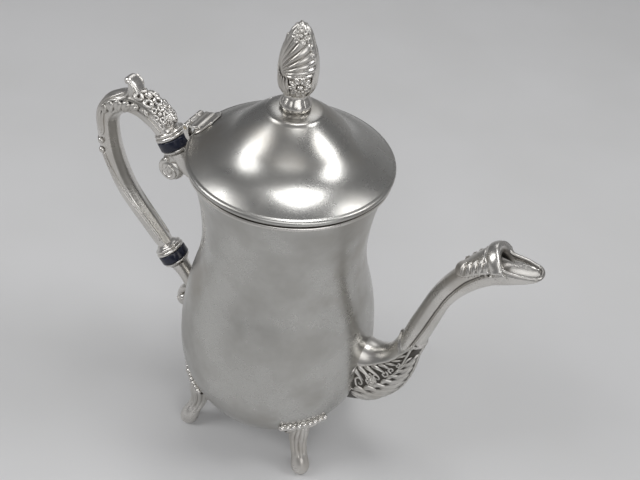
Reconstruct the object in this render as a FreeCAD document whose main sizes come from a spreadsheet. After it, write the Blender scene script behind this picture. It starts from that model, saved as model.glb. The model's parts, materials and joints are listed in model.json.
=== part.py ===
"""A silver-plated coffee pot with a hinged lid, in millimetres, +Z up.

The vessel is a spun pear shape on four cast feet. A hollow spout leaves the belly towards +X, and a scroll
handle stands on the -X side between two insulating rings. The lid turns on a hinge above the handle. Every
piece is drawn about the vessel's own axis and then moved along X by axis_shift, so that the origin lies under
the middle of the whole object, at table height.
"""
import FreeCAD, Part
import math
import os
import Sketcher
from types import SimpleNamespace

V = FreeCAD.Vector
doc = FreeCAD.newDocument("coffee_pot")

# Driving dimensions: name, size in millimetres or degrees, meaning
SIZES = [
    ("wall", 1.3, "metal of the vessel and the lid"),
    ("joint_gap", 0.05, "room left between soldered or clamped pieces"),
    ("base_radius", 30, "flat underside of the vessel"),
    ("base_height", 15, "underside above the table"),
    ("belly_radius", 52.3, "widest part of the vessel"),
    ("belly_height", 62, "widest part above the table"),
    ("turn_height", 110, "where the swell of the belly turns into the neck"),
    ("neck_radius", 40.6, "narrowest part of the neck"),
    ("neck_height", 136, "narrowest part above the table"),
    ("mouth_radius", 46.2, "outside of the flared mouth"),
    ("mouth_height", 176.2, "top edge of the vessel"),
    ("wire_height", 2.6, "half-round wire round the mouth"),
    ("wire_proud", 1.2, "how far the wire stands out from the mouth"),
    ("foot_circle", 50.5, "toes from the vessel's axis"),
    ("toe_radius", 5.2, "ball of a toe"),
    ("toe_centre", 4.6, "middle of the ball above the table"),
    ("ankle_offset", 5.3, "ankle inwards from the toe"),
    ("ankle_drop", 1.5, "ankle below the vessel's underside"),
    ("ankle_radius", 3.9, "slimmest part of a leg"),
    ("knee_offset", 7.3, "knee inwards from the toe"),
    ("knee_rise", 7, "knee above the vessel's underside"),
    ("knee_radius", 4.9, "fullest part of a leg"),
    ("leg_top_offset", 5.0, "top of a leg inwards from the toe"),
    ("leg_top_rise", 22, "top of a leg above the vessel's underside"),
    ("leg_top_radius", 4.0, "top of a leg"),
    ("apron_rise", 26, "top edge of a foot's apron above the underside"),
    ("apron_width", 27, "apron along its top edge"),
    ("apron_waist", 9.5, "apron where it meets the knee"),
    ("apron_curve", 26, "hollow sides of the apron"),
    ("apron_thick", 2.0, "apron on the vessel's wall"),
    ("port_radius", 7.5, "hole from the vessel into the spout"),
    ("spout_drop", 0.5, "start of the spout's line below the widest part"),
    ("spout_sink", 2.6, "start of the spout's line inside the widest part"),
    ("spout_root_angle", 15, "first slope of the spout, degrees"),
    ("spout_bend", 30, "bend of the spout's root"),
    ("spout_tube_angle", 77, "slope of the straight tube, degrees"),
    ("spout_straight", 41.4, "straight tube"),
    ("spout_curl", 56, "bend towards the beak"),
    ("beak_angle", 27, "slope of the beak, degrees"),
    ("beak_length", 10.4, "straight beak"),
    ("beak_lip", 3.2, "height of the beak's front edge"),
    ("mouth_length", 16.4, "open top of the beak"),
    ("root_tall", 48, "spout root on the wall, height"),
    ("root_wide", 25, "spout root on the wall, width"),
    ("swell_tall", 36, "root a third round its bend, height"),
    ("swell_wide", 21, "root a third round its bend, width"),
    ("heel_tall", 23, "root two thirds round its bend, height"),
    ("heel_wide", 17, "root two thirds round its bend, width"),
    ("tube_low", 14.4, "tube above the root"),
    ("tube_middle", 12.6, "tube half way up"),
    ("tube_waist", 11.4, "slimmest part of the tube"),
    ("tube_collar", 12.4, "tube at the leaf collar"),
    ("tube_roll", 14.4, "tube at the thick roll"),
    ("beak_tall", 17, "beak where its top opens, height"),
    ("beak_width", 15.4, "beak where its top opens, width"),
    ("beak_end", 14.6, "beak at its front edge, height before the top is opened"),
    ("beak_tip", 7.4, "beak at its front edge, width"),
    ("spout_wall", 1.5, "metal of the spout"),
    ("handle_stand", 22, "upper insulator outwards from the neck"),
    ("handle_drop", 12, "upper insulator below the mouth"),
    ("handle_angle", 119.5, "direction in which the handle leaves it, degrees"),
    ("arm_bend", 24, "upper arm of the handle"),
    ("crest_bend", 16.5, "turn at the top of the handle"),
    ("grip_top_angle", 266, "direction in which the grip leaves that turn, degrees"),
    ("grip_bend", 72, "long curve of the grip"),
    ("grip_end_angle", 308, "direction of the grip's lower end, degrees"),
    ("grip_run", 30.2, "straight lower end of the grip"),
    ("arm_width", 13, "upper arm"),
    ("crest_width", 11.6, "top of the handle"),
    ("shoulder_width", 12.6, "leaf sheath on the turn"),
    ("grip_width", 12.2, "grip below the sheath"),
    ("palm_width", 11.4, "grip at half its curve"),
    ("grip_taper", 9.8, "grip at the end of its curve"),
    ("grip_end", 9, "grip at its lower flange"),
    ("flange_radius", 8, "flanges and insulators"),
    ("flange_thick", 3.6, "flange at each end of the handle"),
    ("thumb_front", 13, "foot of the thumb scroll before the crest"),
    ("thumb_rise", 14.2, "top of the thumb scroll above the crest"),
    ("thumb_lean", 3.4, "back of the thumb scroll behind the crest"),
    ("thumb_tip", 2.2, "front of the thumb scroll's tip before the crest"),
    ("thumb_round", 4.4, "fall of the tip towards its back"),
    ("thumb_curve", 7, "round tip of the thumb scroll"),
    ("thumb_width", 9, "thumb scroll across"),
    ("insulator_thick", 5, "insulating ring"),
    ("spigot_radius", 3, "spigots on both faces of an insulator"),
    ("spigot_length", 6, "each spigot"),
    ("spigot_room", 0.3, "room beyond a spigot's end"),
    ("pin_radius", 0.8, "cross pins through the spigots"),
    ("pin_depth", 3.2, "cross pins from the insulator's face"),
    ("collar_thick", 1.5, "thin ring of a socket under its insulator"),
    ("collar_radius", 7.5, "thin ring of a socket"),
    ("cup_radius", 6, "socket below its ring"),
    ("cup_length", 9, "socket before it turns to the neck"),
    ("bracket_radius", 4.4, "arm from the upper socket to the neck"),
    ("bracket_bend", 10, "turn of that arm"),
    ("bracket_sink", 4, "ends of sockets and brackets inside the wall before trimming"),
    ("volute_radius", 6.0, "scroll under the upper socket"),
    ("volute_width", 9, "scroll under the upper socket, across"),
    ("volute_offset", 2.1, "scroll outwards from the socket's ring"),
    ("volute_drop", 13.7, "scroll below the socket's ring"),
    ("stub_radius", 4.6, "lower socket near the wall"),
    ("tail_radius", 3.8, "small scroll below the lower socket"),
    ("tail_width", 7, "small scroll across"),
    ("tail_stand", 7, "small scroll outwards from the widest part"),
    ("tail_drop", 31.1, "small scroll below the lower insulator"),
    ("strap_rise", 15, "top of the strap above the small scroll"),
    ("strap_thick", 9, "root of the strap on the wall"),
    ("strap_curve", 15, "outer curve of the strap"),
    ("lid_gap", 0.4, "lid above the mouth"),
    ("lid_radius", 48, "outside of the lid's bead"),
    ("bead_radius", 1.6, "round bead of the lid"),
    ("seat_width", 3.6, "flat underside inside the bead"),
    ("brim_radius", 37, "where the brim turns down to the bead"),
    ("brim_rise", 8.4, "brim above the lid's underside"),
    ("bell_radius", 26.5, "where the crown turns into the brim"),
    ("bell_rise", 15.7, "bell above the lid's underside"),
    ("crown_radius", 10.4, "flat top under the finial"),
    ("crown_rise", 28.2, "flat top above the lid's underside"),
    ("crown_curve", 60, "curve of the crown"),
    ("vent_radius", 1, "steam hole beside the finial"),
    ("vent_circle", 13, "steam hole from the lid's axis"),
    ("vent_angle", 150, "steam hole round the lid, degrees"),
    ("bezel_depth", 4.8, "collar under the lid"),
    ("bezel_room", 0.7, "room between collar and mouth"),
    ("bezel_taper", 1.3, "collar narrower at its lower edge"),
    ("bezel_wall", 1.2, "metal of the collar"),
    ("stud_radius", 2, "stud of the finial"),
    ("stud_room", 0.2, "room round the stud"),
    ("stud_end", 1.5, "stud below its nut"),
    ("finial_height", 39.7, "finial above the lid"),
    ("boss_radius", 6.4, "foot of the finial"),
    ("boss_height", 7.4, "lobed foot of the finial"),
    ("boss_curve", 5.2, "round side of the foot"),
    ("stem_radius", 5.2, "waist above the foot"),
    ("bud_radius", 8.7, "fullest part of the bud"),
    ("bud_height", 21.5, "fullest part above the lid"),
    ("bud_curve", 24, "lower side of the bud"),
    ("petal_radius", 6.2, "shoulder of the bud"),
    ("petal_height", 33, "shoulder above the lid"),
    ("petal_curve", 30, "upper side of the bud"),
    ("washer_radius", 6, "washer under the lid"),
    ("washer_thick", 1, "washer under the lid"),
    ("nut_width", 7, "nut across its flats"),
    ("nut_thick", 3, "nut"),
    ("hinge_stand", 3.5, "hinge line outwards from the lid's bead"),
    ("hinge_rise", 3.2, "hinge line above the lid's underside"),
    ("knuckle_radius", 1.8, "hinge knuckles"),
    ("hinge_width", 15, "hinge from end to end"),
    ("knuckle_width", 6, "middle knuckle"),
    ("knuckle_gap", 0.2, "room beside the middle knuckle"),
    ("hinge_pin_radius", 0.9, "hinge pin"),
    ("running_gap", 0.05, "room round the hinge pin"),
    ("bracket_drop", 17.5, "hinge bracket on the neck below the hinge line"),
    ("wire_room", 1, "hinge bracket below the mouth wire"),
    ("bead_room", 1.2, "hinge bracket outwards from the lid's bead"),
    ("slot_depth", 3, "slot for the middle knuckle below the hinge line"),
    ("leaf_thick", 1.2, "leaf on the lid"),
    ("leaf_length", 7.5, "leaf inwards from the bead"),
    ("leaf_shoulder", 2.5, "widest part of the leaf inwards from the bead"),
    ("leaf_root", 15, "leaf across its edge at the bead"),
    ("leaf_width", 22, "leaf across its widest part"),
    ("leaf_tip", 11, "leaf across its tip"),
]


class Size:
    """A value of the model: its number now, and the sheet formula that keeps it current."""

    def __init__(self, number, formula):
        self.number = number
        self.formula = formula

    def __add__(self, other):
        other = as_size(other)
        return Size(self.number + other.number, f"({self.formula} + {other.formula})")

    def __sub__(self, other):
        other = as_size(other)
        return Size(self.number - other.number, f"({self.formula} - {other.formula})")

    def __mul__(self, other):
        other = as_size(other)
        return Size(self.number * other.number, f"({self.formula} * {other.formula})")

    def __truediv__(self, other):
        other = as_size(other)
        return Size(self.number / other.number, f"({self.formula} / {other.formula})")

    def __rsub__(self, other):
        return as_size(other) - self

    def __neg__(self):
        return as_size(0) - self


class Free:
    """A starting value that the sketch itself settles, by tangents and level centres."""

    def __init__(self, number):
        self.number = number


def as_size(value):
    """A plain number becomes a size whose formula is that number."""
    if isinstance(value, (Size, Free)):
        return value
    return Size(float(value), repr(float(value)))


def sine(angle):
    return Size(math.sin(math.radians(angle.number)), f"sin({angle.formula})")


def cosine(angle):
    return Size(math.cos(math.radians(angle.number)), f"cos({angle.formula})")


def bind(thing, setting, value):
    """Tie one setting of an object to the sheet."""
    thing.setExpression(setting, as_size(value).formula)


def write_sheet():
    """Put every driving dimension into the sheet, and return them as sizes by name."""
    sheet = doc.addObject("Spreadsheet::Sheet", "Sizes")
    for row, (name, number, meaning) in enumerate(SIZES, start=1):
        sheet.set(f"A{row}", name)
        sheet.set(f"B{row}", str(number))
        sheet.set(f"C{row}", meaning)
        sheet.setAlias(f"B{row}", name)
    doc.recompute()
    return SimpleNamespace(**{name: Size(float(sheet.get(name)), f"Sizes.{name}") for name, _, _ in SIZES})


s = write_sheet()


class Stand:
    """A place and a direction in the pot's middle plane: out along X, up along Z, heading in degrees."""

    def __init__(self, out, up, heading):
        self.out = out
        self.up = up
        self.heading = heading

    def run(self, length):
        """The stand a straight length further on."""
        length = as_size(length)
        across = length * cosine(self.heading)
        along = length * sine(self.heading)
        return Stand(self.out + across, self.up + along, self.heading)

    def bend(self, radius, heading):
        """The stand at the end of an arc that turns to a new heading, left where the heading grows."""
        across = sine(heading) - sine(self.heading)
        along = cosine(self.heading) - cosine(heading)
        if heading.number < self.heading.number:
            radius = -radius
        return Stand(self.out + radius * across, self.up + radius * along, heading)

    def back(self):
        """The same place, facing the other way."""
        return Stand(self.out, self.up, self.heading - 180)


def between(first, last, share):
    """The size that lies a share of the way from the first to the last."""
    return first + (last - first) * share


def plane_of(body, role):
    return next(plane for plane in body.Origin.OriginFeatures if plane.Role == role)


def attach(feature, body, role):
    feature.AttachmentSupport = [(plane_of(body, role), "")]
    feature.MapMode = "FlatFace"


def attach_at(feature, body, stand):
    """Stand a sketch or a primitive in the middle plane, its own axis along the heading."""
    attach(feature, body, "XY_Plane")
    turn = 90 - stand.heading
    feature.AttachmentOffset = FreeCAD.Placement(V(), FreeCAD.Rotation(V(0, 1, 0), turn.number))
    bind(feature, "AttachmentOffset.Base.x", stand.out)
    bind(feature, "AttachmentOffset.Base.z", stand.up)
    bind(feature, "AttachmentOffset.Rotation.Angle", turn)


def attach_across(feature, body, out, up, width):
    """Lay a cylinder across the middle plane, half its width on each side."""
    attach(feature, body, "XY_Plane")
    feature.AttachmentOffset = FreeCAD.Placement(V(), FreeCAD.Rotation(V(1, 0, 0), -90))
    bind(feature, "AttachmentOffset.Base.x", out)
    bind(feature, "AttachmentOffset.Base.y", -width / 2)
    bind(feature, "AttachmentOffset.Base.z", up)


def new_body(name):
    return doc.addObject("PartDesign::Body", name)


def new_sketch(body, role, name):
    drawing = body.newObject("Sketcher::SketchObject", name)
    attach(drawing, body, role)
    return drawing


def pin_point(drawing, spot, x, y):
    """Hold a point of a sketch at its two coordinates. A plain zero lies on the sketch's own axis."""
    for kind, axis, value in (("DistanceX", -2, x), ("DistanceY", -1, y)):
        if isinstance(value, Free):
            continue
        if not isinstance(value, Size):
            drawing.addConstraint(Sketcher.Constraint("PointOnObject", *spot, axis))
            continue
        index = drawing.addConstraint(Sketcher.Constraint(kind, -1, 1, *spot, value.number))
        bind(drawing, f"Constraints[{index}]", value)


def arc_between(start, end, radius):
    """The short arc from start to end, its centre on the left where the radius is positive."""
    middle = (start + end) * 0.5
    chord = end - start
    half = chord.Length / 2
    reach = math.sqrt(max(radius * radius - half * half, 0)) * math.copysign(1, radius)
    left = V(-chord.y, chord.x, 0).normalize()
    centre = middle + left * reach
    first, last = (start, end) if radius > 0 else (end, start)
    angles = [math.atan2(point.y - centre.y, point.x - centre.x) for point in (first, last)]
    if angles[1] < angles[0]:
        angles[1] += 2 * math.pi
    return Part.ArcOfCircle(Part.Circle(centre, V(0, 0, 1), abs(radius)), *angles)


def outline(drawing, corners, arcs=None, smooth=(), level=None, centred=()):
    """Draw a closed outline through corners.

    arcs gives a side its radius, positive where the centre lies on the left of the way round. A Free radius is
    only a start. smooth lists the corners where two sides run into each other, level gives an arc the corner
    that its centre is level with, and centred lists the arcs whose centre lies on the upright axis.
    """
    arcs = arcs or {}
    level = level or {}
    points = [V(as_size(x).number, as_size(y).number, 0) for x, y in corners]
    count = len(points)
    starts, ends = [], []
    for side in range(count):
        first, last = points[side], points[(side + 1) % count]
        turned = side in arcs and arcs[side].number < 0
        if side in arcs:
            shape = arc_between(first, last, arcs[side].number)
        else:
            shape = Part.LineSegment(first, last)
        index = drawing.addGeometry(shape, False)
        starts.append((index, 2 if turned else 1))
        ends.append((index, 1 if turned else 2))
    for corner, (x, y) in enumerate(corners):
        kind = "Tangent" if corner in smooth else "Coincident"
        drawing.addConstraint(Sketcher.Constraint(kind, *ends[corner - 1], *starts[corner]))
        pin_point(drawing, starts[corner], x, y)
    for side, radius in arcs.items():
        if isinstance(radius, Size):
            index = drawing.addConstraint(Sketcher.Constraint("Radius", starts[side][0], abs(radius.number)))
            bind(drawing, f"Constraints[{index}]", radius if radius.number > 0 else -radius)
    for side, corner in level.items():
        spot = starts[side] if corner == side else ends[side]
        drawing.addConstraint(Sketcher.Constraint("Horizontal", spot[0], 3, *spot))
    for side in centred:
        drawing.addConstraint(Sketcher.Constraint("PointOnObject", starts[side][0], 3, -2))


def spin(body, corners, **shape):
    """Turn an outline in the middle plane about the upright axis."""
    drawing = new_sketch(body, "XZ_Plane", f"{body.Name}_profile")
    outline(drawing, corners, **shape)
    turned = body.newObject("PartDesign::Revolution", f"{body.Name}_turned")
    turned.Profile = drawing
    turned.ReferenceAxis = (drawing, ["V_Axis"])
    turned.Angle = 360
    return drawing


def plate(body, name, corners, width, **shape):
    """Pad an outline of the middle plane by half a width to each side."""
    drawing = new_sketch(body, "XZ_Plane", f"{name}_outline")
    outline(drawing, corners, **shape)
    pad = body.newObject("PartDesign::Pad", name)
    pad.Profile = drawing
    pad.SideType = "Symmetric"
    bind(pad, "Length", width)


def rod(body, name, stand, radius, length, cut=False):
    """A cylinder along a stand's heading, added to the body or cut from it."""
    kind = "PartDesign::SubtractiveCylinder" if cut else "PartDesign::AdditiveCylinder"
    feature = body.newObject(kind, name)
    attach_at(feature, body, stand)
    bind(feature, "Radius", radius)
    bind(feature, "Height", length)


def roller(body, name, out, up, radius, width, cut=False):
    """A cylinder across the middle plane, added to the body or cut from it."""
    kind = "PartDesign::SubtractiveCylinder" if cut else "PartDesign::AdditiveCylinder"
    feature = body.newObject(kind, name)
    attach_across(feature, body, out, up, width)
    bind(feature, "Radius", radius)
    bind(feature, "Height", width)


def section(body, name, stand, tall, wide=None):
    """A cross-section square to a stand's heading: a circle, or an oval that is taller than wide."""
    drawing = body.newObject("Sketcher::SketchObject", name)
    attach_at(drawing, body, stand)
    if wide is None:
        ring = drawing.addGeometry(Part.Circle(V(), V(0, 0, 1), tall.number / 2), False)
        drawing.addConstraint(Sketcher.Constraint("Coincident", ring, 3, -1, 1))
        index = drawing.addConstraint(Sketcher.Constraint("Diameter", ring, tall.number))
        bind(drawing, f"Constraints[{index}]", tall)
        return drawing
    oval = Part.Ellipse(V(tall.number / 2, 0, 0), V(0, wide.number / 2, 0), V())
    ring = drawing.addGeometry(oval, False)
    drawing.exposeInternalGeometry(ring)
    drawing.addConstraint(Sketcher.Constraint("Coincident", ring, 3, -1, 1))
    drawing.addConstraint(Sketcher.Constraint("Horizontal", ring + 1))
    for line, length in ((ring + 1, tall), (ring + 2, wide)):
        index = drawing.addConstraint(Sketcher.Constraint("Distance", line, length.number))
        bind(drawing, f"Constraints[{index}]", length)
    return drawing


def rings_of(body, name, rings):
    """Numbered cross-sections, each given by its stand, its height and, for an oval, its width."""
    return [section(body, f"{name}_ring_{number}", *ring) for number, ring in enumerate(rings)]


def loft(body, name, sections, cut=False):
    """Join cross-sections into one smooth form, added to the body or cut from it."""
    kind = "PartDesign::SubtractiveLoft" if cut else "PartDesign::AdditiveLoft"
    feature = body.newObject(kind, name)
    feature.Profile = sections[0]
    feature.Sections = sections[1:]


NODES = []


def settle(node, label, turn=None):
    """Name a finished piece and move it with the vessel's axis, turned about that axis where asked."""
    node.Label = label
    if turn is not None:
        node.Placement = FreeCAD.Placement(V(), FreeCAD.Rotation(V(0, 0, 1), turn))
    bind(node, "Placement.Base.x", axis_shift)
    NODES.append(node)


def settle_at(node, label, stand):
    """Name a piece that is drawn along its own Z axis, and stand it in the middle plane."""
    turn = 90 - stand.heading
    node.Label = label
    node.Placement = FreeCAD.Placement(V(), FreeCAD.Rotation(V(0, 1, 0), turn.number))
    bind(node, "Placement.Base.x", axis_shift + stand.out)
    bind(node, "Placement.Base.z", stand.up)
    bind(node, "Placement.Rotation.Angle", turn)
    NODES.append(node)


def combine(kind, name, base, tool):
    result = doc.addObject(kind, name)
    result.Base = base
    result.Tool = tool
    return result


def fuse(name, pieces):
    result = doc.addObject("Part::MultiFuse", name)
    result.Shapes = pieces
    return result


# Where the leaf collar and the thick roll lie, as shares of the spout's curl
COLLAR_SHARE = 0.36
ROLL_SHARE = 0.72

# The line of the spout, from inside the belly to the tip of the beak
spout_start = Stand(s.belly_radius - s.spout_sink, s.belly_height - s.spout_drop, s.spout_root_angle)
spout_swell = spout_start.bend(s.spout_bend, between(s.spout_root_angle, s.spout_tube_angle, 1 / 3))
spout_heel = spout_start.bend(s.spout_bend, between(s.spout_root_angle, s.spout_tube_angle, 2 / 3))
spout_low = spout_start.bend(s.spout_bend, s.spout_tube_angle)
spout_middle = spout_low.run(s.spout_straight / 2)
spout_waist = spout_low.run(s.spout_straight)
spout_collar = spout_waist.bend(s.spout_curl, between(s.spout_tube_angle, s.beak_angle, COLLAR_SHARE))
spout_roll = spout_waist.bend(s.spout_curl, between(s.spout_tube_angle, s.beak_angle, ROLL_SHARE))
spout_beak = spout_waist.bend(s.spout_curl, s.beak_angle)
spout_end = spout_beak.run(s.beak_length)
beak_keel = Stand(
    spout_end.out + s.beak_end / 2 * sine(s.beak_angle),
    spout_end.up - s.beak_end / 2 * cosine(s.beak_angle),
    s.beak_angle,
)

# The line of the handle, from the upper insulator over the crest to the lower one
upper_joint = Stand(-(s.neck_radius + s.handle_stand), s.mouth_height - s.handle_drop, s.handle_angle)
half_joint = s.insulator_thick / 2 + s.joint_gap
handle_start = upper_joint.run(half_joint)
handle_arm = handle_start.bend(s.arm_bend, between(s.handle_angle, as_size(180), 0.5))
handle_crest = handle_start.bend(s.arm_bend, as_size(180))
handle_shoulder = handle_crest.bend(s.crest_bend, between(as_size(180), s.grip_top_angle, 0.5))
handle_back = handle_crest.bend(s.crest_bend, s.grip_top_angle)
handle_palm = handle_back.bend(s.grip_bend, between(s.grip_top_angle, s.grip_end_angle, 0.5))
handle_taper = handle_back.bend(s.grip_bend, s.grip_end_angle)
handle_end = handle_taper.run(s.grip_run)
lower_joint = handle_end.run(half_joint)

# The whole object reaches from the back of the handle to the keel of the beak
axis_shift = (s.grip_width / 2 - handle_back.out - beak_keel.out) / 2

lid_base = s.mouth_height + s.lid_gap
hinge_out = -(s.lid_radius + s.hinge_stand)
hinge_up = lid_base + s.hinge_rise


def wall_profile(shift):
    """Corners of the vessel's outline from base to mouth, widened by shift; the sketch settles the turn."""
    turn_share = (s.turn_height.number - s.belly_height.number) / (s.neck_height.number - s.belly_height.number)
    turn_radius = between(s.belly_radius, s.neck_radius, turn_share).number + as_size(shift).number
    return [
        (s.base_radius + shift, s.base_height),
        (s.belly_radius + shift, s.belly_height),
        (Free(turn_radius), s.turn_height),
        (s.neck_radius + shift, s.neck_height),
        (s.mouth_radius + shift, s.mouth_height),
    ]


def vertical_arc(first, last):
    """Radius of an arc between two corners whose centre is level with the last one."""
    across = as_size(first[0]).number - as_size(last[0]).number
    along = as_size(first[1]).number - as_size(last[1]).number
    return (across * across + along * along) / (2 * abs(across))


def solid_of_wall(name, shift):
    """A solid with the vessel's outline, widened by shift, for trimming what is soldered on."""
    wall = wall_profile(shift)
    body = new_body(name)
    corners = [(0, s.base_height), *wall, (0, s.mouth_height)]
    arcs = {
        1: Free(vertical_arc(wall[0], wall[1])),
        2: Free(vertical_arc(wall[2], wall[1])),
        3: Free(-vertical_arc(wall[2], wall[3])),
        4: Free(-vertical_arc(wall[4], wall[3])),
    }
    spin(body, corners, arcs=arcs, smooth=(3,), level={1: 2, 2: 2, 3: 4, 4: 4})
    return body


def make_vessel():
    """The spun shell, with the round port that opens into the spout."""
    body = new_body("vessel")
    outer = wall_profile(0)
    inner = wall_profile(-s.wall)
    inner[0] = (inner[0][0], s.base_height + s.wall)
    corners = [(0, s.base_height), *outer, *reversed(inner), (0, s.base_height + s.wall)]
    arcs = {
        1: Free(vertical_arc(outer[0], outer[1])),
        2: Free(vertical_arc(outer[2], outer[1])),
        3: Free(-vertical_arc(outer[2], outer[3])),
        4: Free(-vertical_arc(outer[4], outer[3])),
        6: Free(vertical_arc(inner[4], inner[3])),
        7: Free(vertical_arc(inner[2], inner[3])),
        8: Free(-vertical_arc(inner[2], inner[1])),
        9: Free(-vertical_arc(inner[0], inner[1])),
    }
    level = {1: 2, 2: 2, 3: 4, 4: 4, 6: 7, 7: 7, 8: 9, 9: 9}
    spin(body, corners, arcs=arcs, smooth=(3, 8), level=level)
    port = Stand(s.neck_radius, spout_start.up, as_size(0))
    rod(body, "port", port, s.port_radius, s.belly_radius - s.neck_radius + s.wall, cut=True)
    settle(body, "vessel")


def make_mouth_wire(wall_form):
    """A half-round wire soldered round the mouth."""
    body = new_body("wire_ring")
    bottom = s.mouth_height - s.wire_height
    middle = s.mouth_height - s.wire_height / 2
    inside = s.mouth_radius - s.wall
    edge = s.mouth_radius + s.wire_proud - s.wire_height / 2
    corners = [
        (inside, bottom),
        (edge, bottom),
        (s.mouth_radius + s.wire_proud, middle),
        (edge, s.mouth_height),
        (inside, s.mouth_height),
    ]
    spin(body, corners, arcs={1: s.wire_height / 2, 2: s.wire_height / 2})
    settle(combine("Part::Cut", "wire_trimmed", body, wall_form), "mouth_wire")


# Each foot's direction from the axis, in degrees from the spout: one in the middle of each quarter
FOOT_TURNS = {"rear_right": 45, "rear_left": 135, "front_left": 225, "front_right": 315}


def make_feet(wall_form):
    """Four cast feet: a ball toe, a leg that swells to the knee, and an apron spread on the wall."""
    leg = new_body("leg")
    rings = [
        (s.toe_centre, s.foot_circle, s.ankle_radius),
        (s.base_height - s.ankle_drop, s.foot_circle - s.ankle_offset, s.ankle_radius),
        (s.base_height + s.knee_rise, s.foot_circle - s.knee_offset, s.knee_radius),
        (s.base_height + s.leg_top_rise, s.foot_circle - s.leg_top_offset, s.leg_top_radius),
    ]
    up = as_size(90)
    stages = [(Stand(out, height, up), radius * 2) for height, out, radius in rings]
    loft(leg, "leg_form", rings_of(leg, "leg", stages))

    toe = new_body("toe")
    pad = math.sqrt(s.toe_radius.number ** 2 - s.toe_centre.number ** 2)
    pad_size = Size(pad, "sqrt(Sizes.toe_radius * Sizes.toe_radius - Sizes.toe_centre * Sizes.toe_centre)")
    corners = [
        (0, 0),
        (pad_size, 0),
        (s.toe_radius, s.toe_centre),
        (0, s.toe_centre + s.toe_radius),
    ]
    spin(toe, corners, arcs={1: s.toe_radius, 2: s.toe_radius})
    bind(toe, "Placement.Base.x", s.foot_circle)

    shield = new_body("apron_shield")
    drawing = new_sketch(shield, "YZ_Plane", "apron_outline")
    bind(drawing, "AttachmentOffset.Base.z", s.base_radius)
    top = s.base_height + s.apron_rise
    knee = s.base_height + s.knee_rise
    corners = [
        (-s.apron_waist / 2, knee),
        (s.apron_waist / 2, knee),
        (s.apron_width / 2, top),
        (-s.apron_width / 2, top),
    ]
    outline(drawing, corners, arcs={1: -s.apron_curve, 3: -s.apron_curve})
    pad = shield.newObject("PartDesign::Pad", "apron_block")
    pad.Profile = drawing
    bind(pad, "Length", s.belly_radius - s.base_radius + s.apron_thick)

    apron_form = solid_of_wall("apron_form", s.joint_gap + s.apron_thick)
    apron = combine("Part::Common", "apron", shield, apron_form)
    foot = fuse("foot", [leg, toe, apron])
    for place, turn in FOOT_TURNS.items():
        trimmed = combine("Part::Cut", f"trimmed_{place}", foot, wall_form)
        settle(trimmed, f"foot_{place}", turn)


def make_spout(wall_form):
    """The hollow spout: a tall root on the belly, a slim tube, and a beak that opens upwards."""
    body = new_body("spout_casting")
    rings = [
        (spout_start, s.root_tall, s.root_wide),
        (spout_swell, s.swell_tall, s.swell_wide),
        (spout_heel, s.heel_tall, s.heel_wide),
        (spout_low, s.tube_low, None),
        (spout_middle, s.tube_middle, None),
        (spout_waist, s.tube_waist, None),
        (spout_collar, s.tube_collar, None),
        (spout_roll, s.tube_roll, None),
        (spout_beak, s.beak_tall, s.beak_width),
        (spout_end, s.beak_end, s.beak_tip),
    ]
    metal = s.spout_wall * 2
    loft(body, "spout_form", rings_of(body, "spout", rings))
    rings[-1] = (spout_end.run(-s.spout_wall), s.beak_end, s.beak_tip)
    bores = [(stand, tall - metal, wide - metal if wide else None) for stand, tall, wide in rings]
    loft(body, "spout_bore", rings_of(body, "bore", bores), cut=True)

    mouth = body.newObject("PartDesign::SubtractiveBox", "spout_mouth")
    attach(mouth, body, "XY_Plane")
    bind(mouth, "AttachmentOffset.Base.x", beak_keel.out - s.mouth_length)
    bind(mouth, "AttachmentOffset.Base.y", -s.beak_width)
    bind(mouth, "AttachmentOffset.Base.z", beak_keel.up + s.beak_lip)
    bind(mouth, "Length", s.mouth_length * 2)
    bind(mouth, "Width", s.beak_width * 2)
    bind(mouth, "Height", s.beak_width * 2)
    settle(combine("Part::Cut", "spout_trimmed", body, wall_form), "spout")


def bore_for_spigot(body, name, stand):
    """A blind hole for an insulator's spigot, and the cross hole for its pin."""
    rod(body, f"{name}_bore", stand, s.spigot_radius + s.joint_gap, s.spigot_length + s.spigot_room, cut=True)
    pin = stand.run(s.pin_depth)
    roller(body, f"{name}_pin_hole", pin.out, pin.up, s.pin_radius + s.joint_gap, s.flange_radius * 3, cut=True)


def make_handle():
    """The scroll handle: flanges, a full arm and shoulder, a tapering grip and a thumb scroll."""
    body = new_body("handle")
    arm = [
        (handle_start, s.arm_width),
        (handle_arm, s.arm_width),
        (handle_crest, s.crest_width),
        (handle_shoulder, s.shoulder_width),
        (handle_back, s.grip_width),
    ]
    grip = [
        (handle_back, s.grip_width),
        (handle_palm, s.palm_width),
        (handle_taper, s.grip_taper),
        (handle_end, s.grip_end),
    ]
    loft(body, "arm_form", rings_of(body, "arm", arm))
    loft(body, "grip_form", rings_of(body, "grip", grip))
    rod(body, "upper_flange", handle_start, s.flange_radius, s.flange_thick)
    rod(body, "lower_flange", handle_end.back(), s.flange_radius, s.flange_thick)
    tip_up = handle_crest.up + s.thumb_rise
    corners = [
        (handle_crest.out + s.thumb_front, handle_crest.up),
        (handle_crest.out + s.thumb_tip, tip_up),
        (handle_crest.out - s.thumb_lean, tip_up - s.thumb_round),
        (handle_crest.out - s.thumb_lean, handle_crest.up),
    ]
    plate(body, "thumb_scroll", corners, s.thumb_width, arcs={0: -s.arm_bend, 1: s.thumb_curve})
    bore_for_spigot(body, "upper_spigot", handle_start)
    bore_for_spigot(body, "lower_spigot", handle_end.back())
    settle(body, "handle")


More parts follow.
